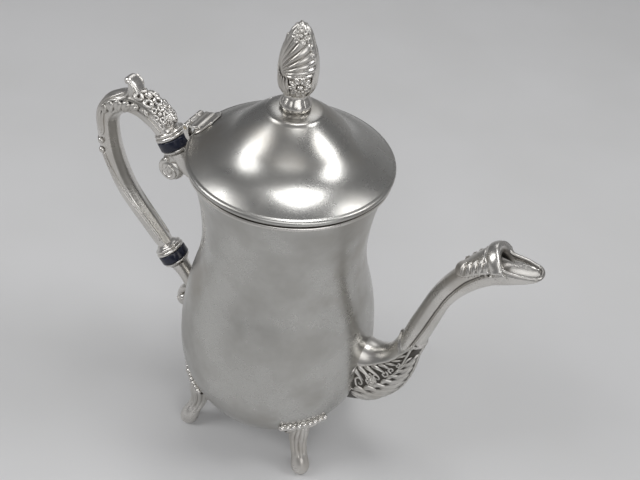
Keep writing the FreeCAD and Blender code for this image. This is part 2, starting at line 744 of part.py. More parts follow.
def make_insulators():
    """Two insulating rings, each with a spigot on both faces and a pin through each spigot."""
    half = s.insulator_thick / 2
    reach = half + s.spigot_length
    for place, joint in (("upper", upper_joint), ("lower", lower_joint)):
        body = new_body(f"{place}_insulator")
        corners = [
            (0, -reach),
            (s.spigot_radius, -reach),
            (s.spigot_radius, -half),
            (s.flange_radius, -half),
            (s.flange_radius, half),
            (s.spigot_radius, half),
            (s.spigot_radius, reach),
            (0, reach),
        ]
        spin(body, corners)
        pin_stands = {}
        for side, sign in (("ahead", 1), ("behind", -1)):
            along = (half_joint + s.pin_depth) * sign
            hole = s.pin_radius + s.joint_gap
            roller(body, f"{place}_hole_{side}", as_size(0), along, hole, s.flange_radius * 2, cut=True)
            pin_stands[side] = joint.run(along)
        settle_at(body, f"{place}_insulator", joint)
        toward_handle = "ahead" if place == "upper" else "behind"
        for side, stand in pin_stands.items():
            holder = "handle" if side == toward_handle else "socket"
            make_pin(f"{place}_{holder}_pin", stand, s.spigot_radius + s.pin_radius * 2)


def make_pin(label, stand, half_length):
    """A cross pin through a spigot and the metal round it."""
    pin = doc.addObject("Part::Cylinder", label)
    bind(pin, "Radius", s.pin_radius)
    bind(pin, "Height", half_length * 2)
    pin.Label = label
    pin.Placement = FreeCAD.Placement(V(), FreeCAD.Rotation(V(1, 0, 0), -90))
    bind(pin, "Placement.Base.x", axis_shift + stand.out)
    bind(pin, "Placement.Base.y", -half_length)
    bind(pin, "Placement.Base.z", stand.up)
    NODES.append(pin)


def make_upper_socket(wall_form):
    """The upper bracket: a ring and cup under the insulator, an arm into the neck, and a scroll below."""
    body = new_body("upper_socket")
    start = upper_joint.run(-half_joint).back()
    cup = start.run(s.cup_length)
    level = as_size(0)
    turned = cup.bend(s.bracket_bend, level)
    rooted = turned.run(-turned.out - s.neck_radius + s.bracket_sink)
    rings = [
        (start, s.cup_radius * 2),
        (cup, s.bracket_radius * 2),
        (cup.bend(s.bracket_bend, between(cup.heading, level, 0.5)), s.bracket_radius * 2),
        (turned, s.bracket_radius * 2),
        (rooted, s.cup_radius * 2),
    ]
    loft(body, "upper_socket_form", rings_of(body, "upper_socket", rings))
    rod(body, "upper_collar", start, s.collar_radius, s.collar_thick)
    roller(body, "volute", start.out - s.volute_offset, start.up - s.volute_drop, s.volute_radius, s.volute_width)
    bore_for_spigot(body, "upper_socket", start)
    settle(combine("Part::Cut", "upper_socket_trimmed", body, wall_form), "upper_handle_socket")


def make_lower_socket(wall_form):
    """The lower bracket: a ring and stub into the belly, and a strap that ends in a small scroll."""
    body = new_body("lower_socket")
    start = lower_joint.run(half_joint)
    rooted = start.run((-start.out - s.belly_radius + s.bracket_sink) / cosine(start.heading))
    middle = Stand(between(start.out, rooted.out, 0.4), between(start.up, rooted.up, 0.4), start.heading)
    rings = [(start, s.cup_radius * 2), (middle, s.stub_radius * 2), (rooted, s.cup_radius * 2)]
    loft(body, "lower_socket_form", rings_of(body, "lower_socket", rings))
    rod(body, "lower_collar", start, s.collar_radius, s.collar_thick)
    tail_out = -(s.belly_radius + s.tail_stand)
    tail_up = lower_joint.up - s.tail_drop
    root = -(s.belly_radius - s.bracket_sink)
    corners = [
        (root, tail_up + s.strap_rise),
        (tail_out - s.tail_radius, tail_up),
        (tail_out + s.tail_radius, tail_up),
        (root, tail_up + s.strap_rise - s.strap_thick),
    ]
    plate(body, "strap", corners, s.tail_width, arcs={0: s.strap_curve})
    roller(body, "tail", tail_out, tail_up, s.tail_radius, s.tail_width)
    bore_for_spigot(body, "lower_socket", start)
    settle(combine("Part::Cut", "lower_socket_trimmed", body, wall_form), "lower_handle_socket")


def lid_profile(lift):
    """Corners of the lid's bell from its flat top to its brim, raised by lift."""
    return [
        (s.crown_radius, lid_base + s.crown_rise + lift),
        (s.bell_radius, lid_base + s.bell_rise + lift),
        (s.brim_radius, lid_base + s.brim_rise + lift),
    ]


BELL_SWEEP = Free(30)
BRIM_ROLL = Free(45)


def solid_of_lid(name, lift):
    """A solid with the lid's outline, raised and widened by lift, for trimming the hinge leaf."""
    bell = lid_profile(lift)
    edge = s.lid_radius - s.bead_radius
    bead = s.bead_radius + lift
    middle = lid_base + s.bead_radius
    corners = [
        (0, middle - bead),
        (edge, middle - bead),
        (edge + bead, middle),
        (edge, middle + bead),
        *reversed(bell),
        (0, bell[0][1]),
    ]
    arcs = {1: bead, 2: bead, 3: BRIM_ROLL, 4: Free(-BELL_SWEEP.number), 5: s.crown_curve}
    body = new_body(name)
    spin(body, corners, arcs=arcs, smooth=(4, 5))
    return body


def make_lid():
    """The bell-shaped lid: a crown that sweeps out to a beaded brim, with a stud hole and a steam hole."""
    body = new_body("lid")
    outer = lid_profile(0)
    inner = lid_profile(-s.wall)
    edge = s.lid_radius - s.bead_radius
    seat = edge - s.seat_width
    corners = [
        (0, outer[0][1]),
        *outer,
        (edge, lid_base + s.bead_radius * 2),
        (s.lid_radius, lid_base + s.bead_radius),
        (edge, lid_base),
        (seat, lid_base),
        (seat, lid_base + s.bead_radius * 2),
        *reversed(inner),
        (0, inner[0][1]),
    ]
    arcs = {
        1: -s.crown_curve,
        2: BELL_SWEEP,
        3: Free(-BRIM_ROLL.number),
        4: -s.bead_radius,
        5: -s.bead_radius,
        8: BRIM_ROLL,
        9: Free(-BELL_SWEEP.number),
        10: s.crown_curve,
    }
    spin(body, corners, arcs=arcs, smooth=(2, 3, 9, 10))
    upright = as_size(90)
    hole_start = lid_base + s.bell_rise
    depth = s.crown_rise
    rod(body, "stud_hole", Stand(as_size(0), hole_start, upright), s.stud_radius + s.stud_room, depth, cut=True)
    vent = body.newObject("PartDesign::SubtractiveCylinder", "vent")
    attach(vent, body, "XY_Plane")
    bind(vent, "AttachmentOffset.Base.x", s.vent_circle * cosine(s.vent_angle))
    bind(vent, "AttachmentOffset.Base.y", s.vent_circle * sine(s.vent_angle))
    bind(vent, "AttachmentOffset.Base.z", hole_start)
    bind(vent, "Radius", s.vent_radius)
    bind(vent, "Height", depth)
    settle(body, "lid")


def make_bezel():
    """The tapered collar under the lid that finds the mouth."""
    body = new_body("lid_bezel")
    top = lid_base - s.joint_gap
    outside = s.mouth_radius - s.wall - s.bezel_room
    corners = [
        (outside - s.bezel_taper, top - s.bezel_depth),
        (outside, top),
        (outside - s.bezel_wall, top),
        (outside - s.bezel_taper - s.bezel_wall, top - s.bezel_depth),
    ]
    spin(body, corners)
    settle(body, "lid_bezel")


NUT_SIDES = 6


def make_finial():
    """The cast bud on its lobed foot, with the stud that passes through the lid, a washer and a nut."""
    seat = lid_base + s.crown_rise + s.joint_gap
    washer_top = lid_base + s.crown_rise - s.wall - s.joint_gap
    nut_top = washer_top - s.washer_thick - s.joint_gap
    stud_bottom = nut_top - s.nut_thick - s.stud_end
    body = new_body("finial")
    corners = [
        (0, stud_bottom),
        (s.stud_radius, stud_bottom),
        (s.stud_radius, seat),
        (s.boss_radius, seat),
        (s.stem_radius, seat + s.boss_height),
        (s.bud_radius, seat + s.bud_height),
        (s.petal_radius, seat + s.petal_height),
        (0, seat + s.finial_height),
    ]
    arcs = {3: s.boss_curve, 4: s.bud_curve, 5: s.petal_curve, 6: Free(s.petal_radius.number)}
    spin(body, corners, arcs=arcs, centred=(6,))
    settle(body, "finial")

    washer = new_body("finial_washer")
    inside = s.stud_radius + s.stud_room
    spin(washer, [
        (inside, washer_top - s.washer_thick),
        (s.washer_radius, washer_top - s.washer_thick),
        (s.washer_radius, washer_top),
        (inside, washer_top),
    ])
    settle(washer, "finial_washer")

    nut = new_body("finial_nut")
    drawing = new_sketch(nut, "XY_Plane", "nut_outline")
    bind(drawing, "AttachmentOffset.Base.z", nut_top - s.nut_thick)
    half_side = as_size(180 / NUT_SIDES)
    corner_radius = s.nut_width / 2 / cosine(half_side)
    turns = [half_side * (2 * number + 1) for number in range(NUT_SIDES)]
    outline(drawing, [(corner_radius * cosine(turn), corner_radius * sine(turn)) for turn in turns])
    pad = nut.newObject("PartDesign::Pad", "nut_block")
    pad.Profile = drawing
    bind(pad, "Length", s.nut_thick)
    bore = Stand(as_size(0), nut_top - s.nut_thick, as_size(90))
    rod(nut, "nut_bore", bore, s.stud_radius + s.joint_gap, s.nut_thick, cut=True)
    settle(nut, "finial_nut")


def make_hinge_bracket(wall_form):
    """The fixed half of the hinge: two knuckles on a bracket that is soldered to the neck."""
    body = new_body("hinge_plate")
    wire_bottom = s.mouth_height - s.wire_height - s.wire_room
    root = -(s.neck_radius - s.bracket_sink)
    inner_edge = -(s.lid_radius + s.bead_room)
    corners = [
        (hinge_out - s.knuckle_radius, hinge_up),
        (hinge_out - s.knuckle_radius, wire_bottom),
        (root, hinge_up - s.bracket_drop),
        (root, wire_bottom),
        (inner_edge, wire_bottom),
        (hinge_out + s.knuckle_radius, hinge_up),
    ]
    plate(body, "bracket_plate", corners, s.hinge_width, arcs={1: -s.arm_bend})
    roller(body, "outer_knuckles", hinge_out, hinge_up, s.knuckle_radius, s.hinge_width)
    slot = body.newObject("PartDesign::SubtractiveBox", "knuckle_slot")
    attach(slot, body, "XY_Plane")
    slot_width = s.knuckle_width + s.knuckle_gap * 2
    bind(slot, "AttachmentOffset.Base.x", hinge_out - s.knuckle_radius * 2)
    bind(slot, "AttachmentOffset.Base.y", -slot_width / 2)
    bind(slot, "AttachmentOffset.Base.z", hinge_up - s.slot_depth)
    bind(slot, "Length", s.hinge_stand * 2)
    bind(slot, "Width", slot_width)
    bind(slot, "Height", s.slot_depth * 2)
    roller(body, "pin_bore", hinge_out, hinge_up, s.hinge_pin_radius + s.running_gap, s.hinge_width, cut=True)
    settle(combine("Part::Cut", "bracket_trimmed", body, wall_form), "hinge_bracket")

    pin = doc.addObject("Part::Cylinder", "hinge_pin")
    bind(pin, "Radius", s.hinge_pin_radius)
    bind(pin, "Height", s.hinge_width)
    pin.Label = "hinge_pin"
    pin.Placement = FreeCAD.Placement(V(), FreeCAD.Rotation(V(1, 0, 0), -90))
    bind(pin, "Placement.Base.x", axis_shift + hinge_out)
    bind(pin, "Placement.Base.y", -s.hinge_width / 2)
    bind(pin, "Placement.Base.z", hinge_up)
    NODES.append(pin)


def make_hinge_leaf():
    """The moving half of the hinge: a knuckle and arm, and a shield-shaped leaf that lies on the lid."""
    shield = new_body("leaf_shield")
    drawing = new_sketch(shield, "XY_Plane", "leaf_outline")
    bind(drawing, "AttachmentOffset.Base.z", lid_base + s.bead_radius)
    edge = -(s.lid_radius - s.bead_radius)
    corners = [
        (edge, -s.leaf_root / 2),
        (edge, s.leaf_root / 2),
        (edge + s.leaf_shoulder, s.leaf_width / 2),
        (edge + s.leaf_length, s.leaf_tip / 2),
        (edge + s.leaf_length, -s.leaf_tip / 2),
        (edge + s.leaf_shoulder, -s.leaf_width / 2),
    ]
    outline(drawing, list(reversed(corners)))
    pad = shield.newObject("PartDesign::Pad", "leaf_block")
    pad.Profile = drawing
    bind(pad, "Length", s.bell_rise)
    leaf_form = solid_of_lid("leaf_form", s.joint_gap + s.leaf_thick)
    leaf = combine("Part::Common", "leaf", shield, leaf_form)

    arm = new_body("leaf_arm")
    bead_top = lid_base + s.bead_radius * 2
    corners = [
        (hinge_out, hinge_up - s.knuckle_radius / 2),
        (edge + s.knuckle_radius, bead_top - s.knuckle_radius / 2),
        (edge + s.knuckle_radius, bead_top + s.leaf_thick * 2),
        (hinge_out, hinge_up + s.knuckle_radius),
    ]
    plate(arm, "arm_plate", corners, s.knuckle_width)
    roller(arm, "middle_knuckle", hinge_out, hinge_up, s.knuckle_radius, s.knuckle_width)
    blank = fuse("leaf_blank", [leaf, arm])
    lid_form = solid_of_lid("lid_form", s.joint_gap)
    fitted = combine("Part::Cut", "leaf_fitted", blank, lid_form)
    bore = doc.addObject("Part::Cylinder", "leaf_bore")
    bind(bore, "Radius", s.hinge_pin_radius + s.running_gap)
    bind(bore, "Height", s.hinge_width)
    bore.Placement = FreeCAD.Placement(V(), FreeCAD.Rotation(V(1, 0, 0), -90))
    bind(bore, "Placement.Base.x", hinge_out)
    bind(bore, "Placement.Base.y", -s.hinge_width / 2)
    bind(bore, "Placement.Base.z", hinge_up)
    settle(combine("Part::Cut", "leaf_bored", fitted, bore), "hinge_leaf")


def check_and_write():
    """Stop on any failed object, then write every piece to its own file."""
    doc.recompute()
    for item in doc.Objects:
        if "Invalid" in item.State or "Error" in item.State:
            raise RuntimeError(f"{item.Name} failed: {item.State}")
    os.makedirs("parts", exist_ok=True)
    for node in NODES:
        shape = node.Shape
        if shape.isNull() or not shape.isValid():
            raise RuntimeError(f"{node.Label} has no valid shape")
        if len(shape.Solids) != 1:
            raise RuntimeError(f"{node.Label} has {len(shape.Solids)} solids")
    for node in NODES:
        node.Shape.exportStep(f"parts/{node.Label}.step")
        print(f"{node.Label}: {node.Shape.Volume:.0f} cubic mm")


wall_form = solid_of_wall("wall_form", s.joint_gap)
make_vessel()
make_mouth_wire(wall_form)
make_feet(wall_form)
make_spout(wall_form)
make_handle()
make_insulators()
make_upper_socket(wall_form)
make_lower_socket(wall_form)
make_lid()
make_bezel()
make_finial()
make_hinge_bracket(wall_form)
make_hinge_leaf()
check_and_write()
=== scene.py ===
# %% [markdown]
# # A silver-plated coffee pot
# The pot is a spun, pear-shaped vessel with cast pieces soldered to it: four feet, a spout, two handle
# sockets and a hinge. The solids of these pieces come with their true sizes and joints. This lesson
# dresses them: each surface is worked out with numpy as a function of two parameters, and every finish is
# a small node network.

# %% Load the frame
import json
import bmesh
import bpy
import numpy as np
from mathutils import Matrix, Vector


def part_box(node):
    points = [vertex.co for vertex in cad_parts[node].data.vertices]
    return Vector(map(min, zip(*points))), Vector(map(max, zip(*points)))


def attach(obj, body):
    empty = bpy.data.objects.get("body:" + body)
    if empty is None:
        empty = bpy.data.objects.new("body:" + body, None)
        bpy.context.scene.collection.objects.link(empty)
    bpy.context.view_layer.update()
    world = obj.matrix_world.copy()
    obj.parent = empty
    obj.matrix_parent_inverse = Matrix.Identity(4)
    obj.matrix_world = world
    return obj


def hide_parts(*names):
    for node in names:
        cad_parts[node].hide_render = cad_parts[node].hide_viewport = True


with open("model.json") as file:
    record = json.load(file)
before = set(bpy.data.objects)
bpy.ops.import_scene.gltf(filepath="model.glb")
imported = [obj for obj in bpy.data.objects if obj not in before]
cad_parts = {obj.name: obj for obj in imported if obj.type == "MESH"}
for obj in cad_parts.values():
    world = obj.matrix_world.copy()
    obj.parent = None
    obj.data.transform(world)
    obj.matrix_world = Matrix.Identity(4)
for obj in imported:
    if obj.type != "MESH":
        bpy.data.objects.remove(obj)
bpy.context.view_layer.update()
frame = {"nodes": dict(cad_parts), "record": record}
nodes = frame["nodes"]
low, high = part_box("vessel")
AXIS_X = (low.x + high.x) / 2 * 1000

# %% [markdown]
# ## From arrays to pieces
# A surface is a grid of points. Its neighbours are joined by quads, and a closed surface joins its last
# row to its first. Poles are rows that fall together, and welding turns their quads into triangles. One
# more number is kept for every point, called relief: 1 on proud metal and 0 in a recess, where silver
# turns dark and is not rubbed bright. Everything is drawn in millimetres about the vessel's axis and
# moved into the frame at the end.

# %% Grid surfaces
def skin(points, wrap_u=False, wrap_v=False, relief=1.0):
    """Points, quads and relief of a grid: each cell joins (u, v), (u+1, v), (u+1, v+1) and (u, v+1)."""
    rows, columns = points.shape[:2]
    index = np.arange(rows * columns).reshape(rows, columns)
    index = np.vstack([index, index[:1]]) if wrap_u else index
    index = np.hstack([index, index[:, :1]]) if wrap_v else index
    quads = np.stack([index[:-1, :-1], index[1:, :-1], index[1:, 1:], index[:-1, 1:]], -1)
    height = np.broadcast_to(np.asarray(relief, float), (rows, columns))
    return points.reshape(-1, 3), quads.reshape(-1, 4), height.reshape(-1)


def tube(rings, relief=1.0, ends=None):
    """Rings closed by a pole at both ends: the given points, or the middles of the first and last ring."""
    ends = rings[[0, -1]].mean(1) if ends is None else np.asarray(ends, float)
    poles = np.repeat(ends[:, None], rings.shape[1], 1)
    tone = np.broadcast_to(np.asarray(relief, float), rings.shape[:2])
    return skin(np.concatenate([poles[:1], rings, poles[1:]]), wrap_v=True,
                relief=np.concatenate([tone[:1], tone, tone[-1:]]))


def pillow(top, base, tone, under=0.0):
    """A top sheet joined along both sides to the sheet below it, which has one even tone."""
    below = base[:, -2:0:-1]
    return skin(np.concatenate([top, below], 1), wrap_v=True,
                relief=np.concatenate([tone, np.full(below.shape[:2], under)], 1))


print("grid helpers are ready")

# %% Casting a piece
MM, WELD = 0.001, 2e-6


def cast(name, skins, body, finish, stands_for=()):
    """One object from several skins: joined, welded, facing outwards, smooth, and riding on its body."""
    counts = np.cumsum([0] + [len(points) for points, _, _ in skins])
    points = np.concatenate([part[0] for part in skins])
    quads = np.concatenate([part[1] + start for part, start in zip(skins, counts)])
    relief = np.concatenate([part[2] for part in skins])
    mesh = bpy.data.meshes.new(name)
    mesh.from_pydata((points + [AXIS_X, 0, 0]) * MM, [], quads.tolist())
    layer = mesh.attributes.new("relief", "FLOAT", "POINT")
    layer.data.foreach_set("value", relief.astype(np.float32))
    form = bmesh.new()
    form.from_mesh(mesh)
    bmesh.ops.remove_doubles(form, verts=form.verts, dist=WELD)
    bmesh.ops.recalc_face_normals(form, faces=form.faces)
    form.to_mesh(mesh)
    form.free()
    mesh.shade_smooth()
    piece = bpy.data.objects.new(name, mesh)
    bpy.context.scene.collection.objects.link(piece)
    mesh.materials.append(finish)
    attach(piece, body)
    if stands_for:
        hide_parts(*stands_for)
    print(f"{name}: {len(mesh.polygons)} faces")
    return piece


# %% Rises, bumps and angles
TURN = 2 * np.pi
deg = np.radians


def step(value, low, high):
    """0 below low, 1 above high, and a smooth rise between."""
    share = np.clip((np.asarray(value, float) - low) / (high - low), 0, 1)
    return share * share * (3 - 2 * share)


def bump_at(value, middle, width):
    """A round bump of height 1 at the middle that fades within the width."""
    return np.exp(-((value - middle) / width) ** 2)


def unit(vectors):
    """Vectors of length one."""
    return vectors / np.maximum(np.linalg.norm(vectors, axis=-1, keepdims=True), 1e-9)


def around(steps):
    """Angles of equal steps round a full turn."""
    return np.linspace(0, TURN, steps, endpoint=False)


def from_zero(q):
    """How far an angle lies from 0 on either side, from 0 to half a turn."""
    return np.abs((q + np.pi) % TURN - np.pi)


def way_of(angle):
    """The direction in the middle plane at an angle in degrees from level."""
    return np.array([np.cos(deg(angle)), 0, np.sin(deg(angle))])


def half_round(count):
    """Angles from straight down over straight out to straight up."""
    return np.linspace(-np.pi / 2, np.pi / 2, count)


print("one full turn:", round(TURN, 4))


# %% Smooth curves through points
def spline(knots, values, at):
    """Natural cubic pieces through values at knots: their second slopes solve one small linear system."""
    knots, values = np.asarray(knots, float), np.asarray(values, float)
    gap = np.diff(knots)
    slope = np.diff(values, axis=0) / gap.reshape((-1,) + (1,) * (values.ndim - 1))
    inner = np.arange(1, len(knots) - 1)
    system, right = np.eye(len(knots)), np.zeros_like(values)
    system[inner, inner - 1], system[inner, inner + 1] = gap[:-1], gap[1:]
    system[inner, inner] = 2 * (gap[:-1] + gap[1:])
    right[1:-1] = 6 * np.diff(slope, axis=0)
    bend = np.linalg.solve(system, right)
    cell = np.clip(np.searchsorted(knots, at) - 1, 0, len(knots) - 2)
    shape = np.shape(at) + (1,) * (values.ndim - 1)
    wide = gap[cell].reshape(shape)
    after = (np.asarray(at, float) - knots[cell]).reshape(shape)
    before = wide - after
    return (bend[cell] * before ** 3 + bend[cell + 1] * after ** 3) / (6 * wide) + (
        (values[cell] / wide - bend[cell] * wide / 6) * before
        + (values[cell + 1] / wide - bend[cell + 1] * wide / 6) * after
    )


def line_through(points, count):
    """A smooth line through points, evenly spaced along its length."""
    points = np.asarray(points, float)
    length = np.concatenate([[0], np.cumsum(np.linalg.norm(np.diff(points, axis=0), axis=1))])
    return spline(length, points, np.linspace(0, length[-1], count))


def plane_line(points, count, y=0.0):
    """A smooth line through points (x, z) of the middle plane, moved across it by y."""
    return np.insert(line_through(points, count), 1, y, axis=1)


def oval(x, y, wide, tall, angle):
    """Profile points of an oval: its middle plus half-width times cosine and half-height times sine."""
    return np.stack([x + wide * np.cos(angle), y + tall * np.sin(angle)], 1)


print("curve helpers are ready")

# %% Turned forms and arcs
ACROSS = np.array([0.0, 1.0, 0.0])


def turned(profile, steps, base=(0, 0, 0), heading=90.0):
    """A profile of (radius, height) carried round an axis that stands in the middle plane at a heading."""
    profile, angle = np.asarray(profile, float), around(steps)
    rim = np.cos(angle)[:, None] * -way_of(heading + 90) + np.sin(angle)[:, None] * ACROSS
    return np.asarray(base) + profile[:, :1, None] * rim[None] + profile[:, 1:, None] * way_of(heading)


def lathe(profile, steps, base=(0, 0, 0), heading=90.0, relief=1.0, hollow=False):
    """The skin of a turned profile. A hollow one joins the end of its profile to the start."""
    return skin(turned(profile, steps, base, heading), hollow, True, relief)


def arc(start, slope, end, count):
    """An arc from start at a slope to end: radius = chord squared / twice its part square to the slope."""
    start, end = np.asarray(start, float), np.asarray(end, float)
    slope = deg(slope)
    normal = np.array([-np.sin(slope), np.cos(slope)])
    chord = end - start
    radius = chord @ chord / (2 * (normal @ chord))
    sweep = 2 * np.arctan2(normal @ chord, np.array([np.cos(slope), np.sin(slope)]) @ chord)
    turn = slope + np.linspace(0, sweep, count)
    return start + radius * np.stack([np.sin(turn) - np.sin(slope), np.cos(slope) - np.cos(turn)], 1)


print("turning helpers are ready")

# %% [markdown]
# ## Finishes
# Silver plate is bright, but years of polishing leave fine scratches and a soft haze, and its colour
# drifts from cool grey to a warm tarnish. Scratches come from noise stretched along one direction, and
# the haze from large slow noise. A picture could hold the same marks, but noise needs no unwrapping. Cast
# pieces add one effect: their recesses hold dark sulphide, which the relief attribute marks.


# %% Nodes
def feed(tree, socket, value):
    """Fill an input: a link where the value is a node's output, and else a plain number or colour."""
    if isinstance(value, bpy.types.NodeSocket):
        tree.links.new(value, socket)
    else:
        socket.default_value = value


def add(tree, kind, inputs=None, **settings):
    """A node with its settings and with its named inputs filled."""
    node = tree.nodes.new(kind)
    for key, value in settings.items():
        setattr(node, key, value)
    for label, value in (inputs or {}).items():
        feed(tree, node.inputs[label], value)
    return node


def maths(tree, operation, *values):
    """The result of one operation on numbers or sockets."""
    node = add(tree, "ShaderNodeMath", operation=operation)
    for socket, value in zip(node.inputs, values):
        feed(tree, socket, value)
    return node.outputs[0]


def ramp(tree, source, low, high):
    """A value from 0 to 1 as the source goes from low to high."""
    inputs = {"Value": source, "From Min": low, "From Max": high}
    return add(tree, "ShaderNodeMapRange", inputs, interpolation_type="SMOOTHSTEP").outputs["Result"]


def blend(tree, amount, first, second):
    """Two colours mixed by an amount. Each may be a value or a socket."""
    node = add(tree, "ShaderNodeMix", data_type="RGBA")
    for number, value in ((0, amount), (6, first), (7, second)):
        feed(tree, node.inputs[number], value)
    return node.outputs[2]


print("node helpers are ready")


# %% Noise and new finishes
def clouds(tree, place, scale, detail, span, roughness=0.5):
    """Noise at a place, spread from 0 to 1 over the given span."""
    inputs = {"Vector": place, "Scale": scale, "Detail": detail, "Roughness": roughness}
    noise = add(tree, "ShaderNodeTexNoise", inputs)
    return ramp(tree, noise.outputs["Fac"], *span)


def new_finish(name, metal):
    """An empty material, its node tree, its shader and the object's own coordinates."""
    finish = bpy.data.materials.new(name)
    finish.use_nodes = True
    tree = finish.node_tree
    shader = tree.nodes["Principled BSDF"]
    shader.inputs["Metallic"].default_value = metal
    return finish, tree, shader, add(tree, "ShaderNodeTexCoord").outputs["Object"]


print("noise helpers are ready")


# %% Polishing marks
def polishing_effect():
    """Fine scratches in two crossing directions, and slow cloudy haze and tarnish, as one shared group."""
    group = bpy.data.node_groups.new("polishing_marks", "ShaderNodeTree")
    group.interface.new_socket("Vector", in_out="INPUT", socket_type="NodeSocketVector")
    for label in ("Scratches", "Haze", "Tarnish"):
        group.interface.new_socket(label, in_out="OUTPUT", socket_type="NodeSocketFloat")
    place, end = group.nodes.new("NodeGroupInput").outputs["Vector"], group.nodes.new("NodeGroupOutput")
    strands = []
    for turn, stretch in ((0.4, (60, 900, 900)), (-0.7, (900, 80, 700))):
        inputs = {"Vector": place, "Rotation": (turn, turn * 0.6, turn * 1.7), "Scale": stretch}
        drawn_out = add(group, "ShaderNodeMapping", inputs).outputs["Vector"]
        strands.append(clouds(group, drawn_out, 1.0, 3.0, (0.56, 0.74), 0.6))
    feed(group, end.inputs["Scratches"], maths(group, "MAXIMUM", *strands))
    feed(group, end.inputs["Haze"], clouds(group, place, 34.0, 4.0, (0.36, 0.68), 0.55))
    feed(group, end.inputs["Tarnish"], clouds(group, place, 17.0, 5.0, (0.5, 0.78), 0.55))
    return group


POLISHING = polishing_effect()
print("effect:", POLISHING.name)

# %% Silver finishes
TARNISH_SHARE, HAZE_ROUGH, SCRATCH_ROUGH, OXIDE_ROUGH = 0.35, 0.10, 0.04, 0.16
SCRATCH_BUMP, SCRATCH_DEPTH = 0.03, 0.0002


def silver(name, bright, dull, brown, rough, oxide=None):
    """Silver plate: haze mixes bright and dull, tarnish adds brown, and oxide darkens low relief."""
    finish, tree, shader, place = new_finish(name, 1.0)
    marks = add(tree, "ShaderNodeGroup", {"Vector": place}, node_tree=POLISHING).outputs
    colour = blend(tree, marks["Haze"], bright, dull)
    colour = blend(tree, maths(tree, "MULTIPLY", marks["Tarnish"], TARNISH_SHARE), colour, brown)
    gloss = maths(tree, "MULTIPLY_ADD", marks["Haze"], HAZE_ROUGH, rough)
    gloss = maths(tree, "MULTIPLY_ADD", marks["Scratches"], SCRATCH_ROUGH, gloss)
    if oxide:
        relief = add(tree, "ShaderNodeAttribute", attribute_name="relief").outputs["Fac"]
        clean = ramp(tree, relief, 0.05, 0.62)
        colour = blend(tree, clean, oxide, colour)
        gloss = maths(tree, "ADD", gloss, maths(tree, "MULTIPLY_ADD", clean, -OXIDE_ROUGH, OXIDE_ROUGH))
    inputs = {"Strength": SCRATCH_BUMP, "Distance": SCRATCH_DEPTH, "Height": marks["Scratches"]}
    normal = add(tree, "ShaderNodeBump", inputs).outputs["Normal"]
    for label, value in (("Base Color", colour), ("Roughness", gloss), ("Normal", normal)):
        feed(tree, shader.inputs[label], value)
    return finish


# painted reflection: the body's bright and dull colours are set darker than plain silver plate, standing in
# for the dark room it mirrors
satin_painted_dark = silver("spun_silver_painted_dark", (0.55, 0.545, 0.525, 1), (0.45, 0.442, 0.42, 1), (0.36, 0.30, 0.225, 1), 0.25)
ornate = silver("chased_silver", (0.74, 0.72, 0.69, 1), (0.60, 0.585, 0.555, 1), (0.42, 0.34, 0.25, 1), 0.24,
                (0.05, 0.043, 0.036, 1))
print("finishes:", satin_painted_dark.name, ornate.name)


# %% Insulator and pin finishes
def plain_finish(name, colour, other, metal, rough, scale):
    """A finish whose colour and gloss wander slowly between two values."""
    finish, tree, shader, place = new_finish(name, metal)
    amount = clouds(tree, place, scale, 4.0, (0.35, 0.65))
    feed(tree, shader.inputs["Base Color"], blend(tree, amount, colour, other))
    feed(tree, shader.inputs["Roughness"], maths(tree, "MULTIPLY_ADD", amount, 0.12, rough))
    return finish


BLACK, BLUE_BLACK = (0.008, 0.011, 0.026, 1), (0.016, 0.02, 0.04, 1)
insulator = plain_finish("heat_ring_black", BLACK, BLUE_BLACK, 0.0, 0.10, 220.0)
pin_metal = plain_finish("brass_pin", (0.62, 0.55, 0.42, 1), (0.52, 0.46, 0.35, 1), 1.0, 0.3, 160.0)
for label, finish in (("insulator", insulator), ("pin_metal", pin_metal)):
    for entry in frame["record"]["subparts"]:
        if entry["material_slot"] == label:
            nodes[entry["node"]].data.materials.clear()
            nodes[entry["node"]].data.materials.append(finish)
print("finishes:", insulator.name, pin_metal.name)

# %% [markdown]
# ## The vessel
# The vessel was spun from one sheet: a pear whose belly turns over into a narrow neck and flares to the
# mouth. Its outline is four arcs that run into each other, so its radius is a formula of the height.
# Outside, lip, inside and floor make one closed profile, and the port into the spout is cut through the
# wall afterwards. A screw modifier could spin the same outline, but a formula also tells every other
# piece where the wall is.

# %% Outline of the vessel
BASE, BELLY, NECK, MOUTH = (30.0, 15.0), (52.28, 62.0), (40.6, 136.0), (46.2, 176.2)
TURN_HEIGHT, WALL, LIP, IN_WALL = 110.0, 1.3, 0.65, 0.6
SPOUT_START, PORT_RADIUS = (49.7, 61.5), 7.5


def wall_radius(height):
    """Radius of the vessel: arcs centred level with belly and neck, side + square root of (R² - rise²)."""
    span = NECK[1] - BELLY[1]
    both = (span ** 2 + (BELLY[0] - NECK[0]) ** 2) / (2 * (BELLY[0] - NECK[0]))
    share = (TURN_HEIGHT - BELLY[1]) / span
    lower = ((BELLY[0] - BASE[0]) ** 2 + (BELLY[1] - BASE[1]) ** 2) / (2 * (BELLY[0] - BASE[0]))
    flare = ((MOUTH[0] - NECK[0]) ** 2 + (MOUTH[1] - NECK[1]) ** 2) / (2 * (MOUTH[0] - NECK[0]))
    height = np.asarray(height, float)
    swell = np.where(height < BELLY[1], lower, both * share)
    hollow = np.where(height < NECK[1], both * (1 - share), flare)
    out = BELLY[0] - swell + np.sqrt(np.maximum(swell ** 2 - (height - BELLY[1]) ** 2, 0))
    back = NECK[0] + hollow - np.sqrt(np.maximum(hollow ** 2 - (height - NECK[1]) ** 2, 0))
    return np.where(height < TURN_HEIGHT, out, back)


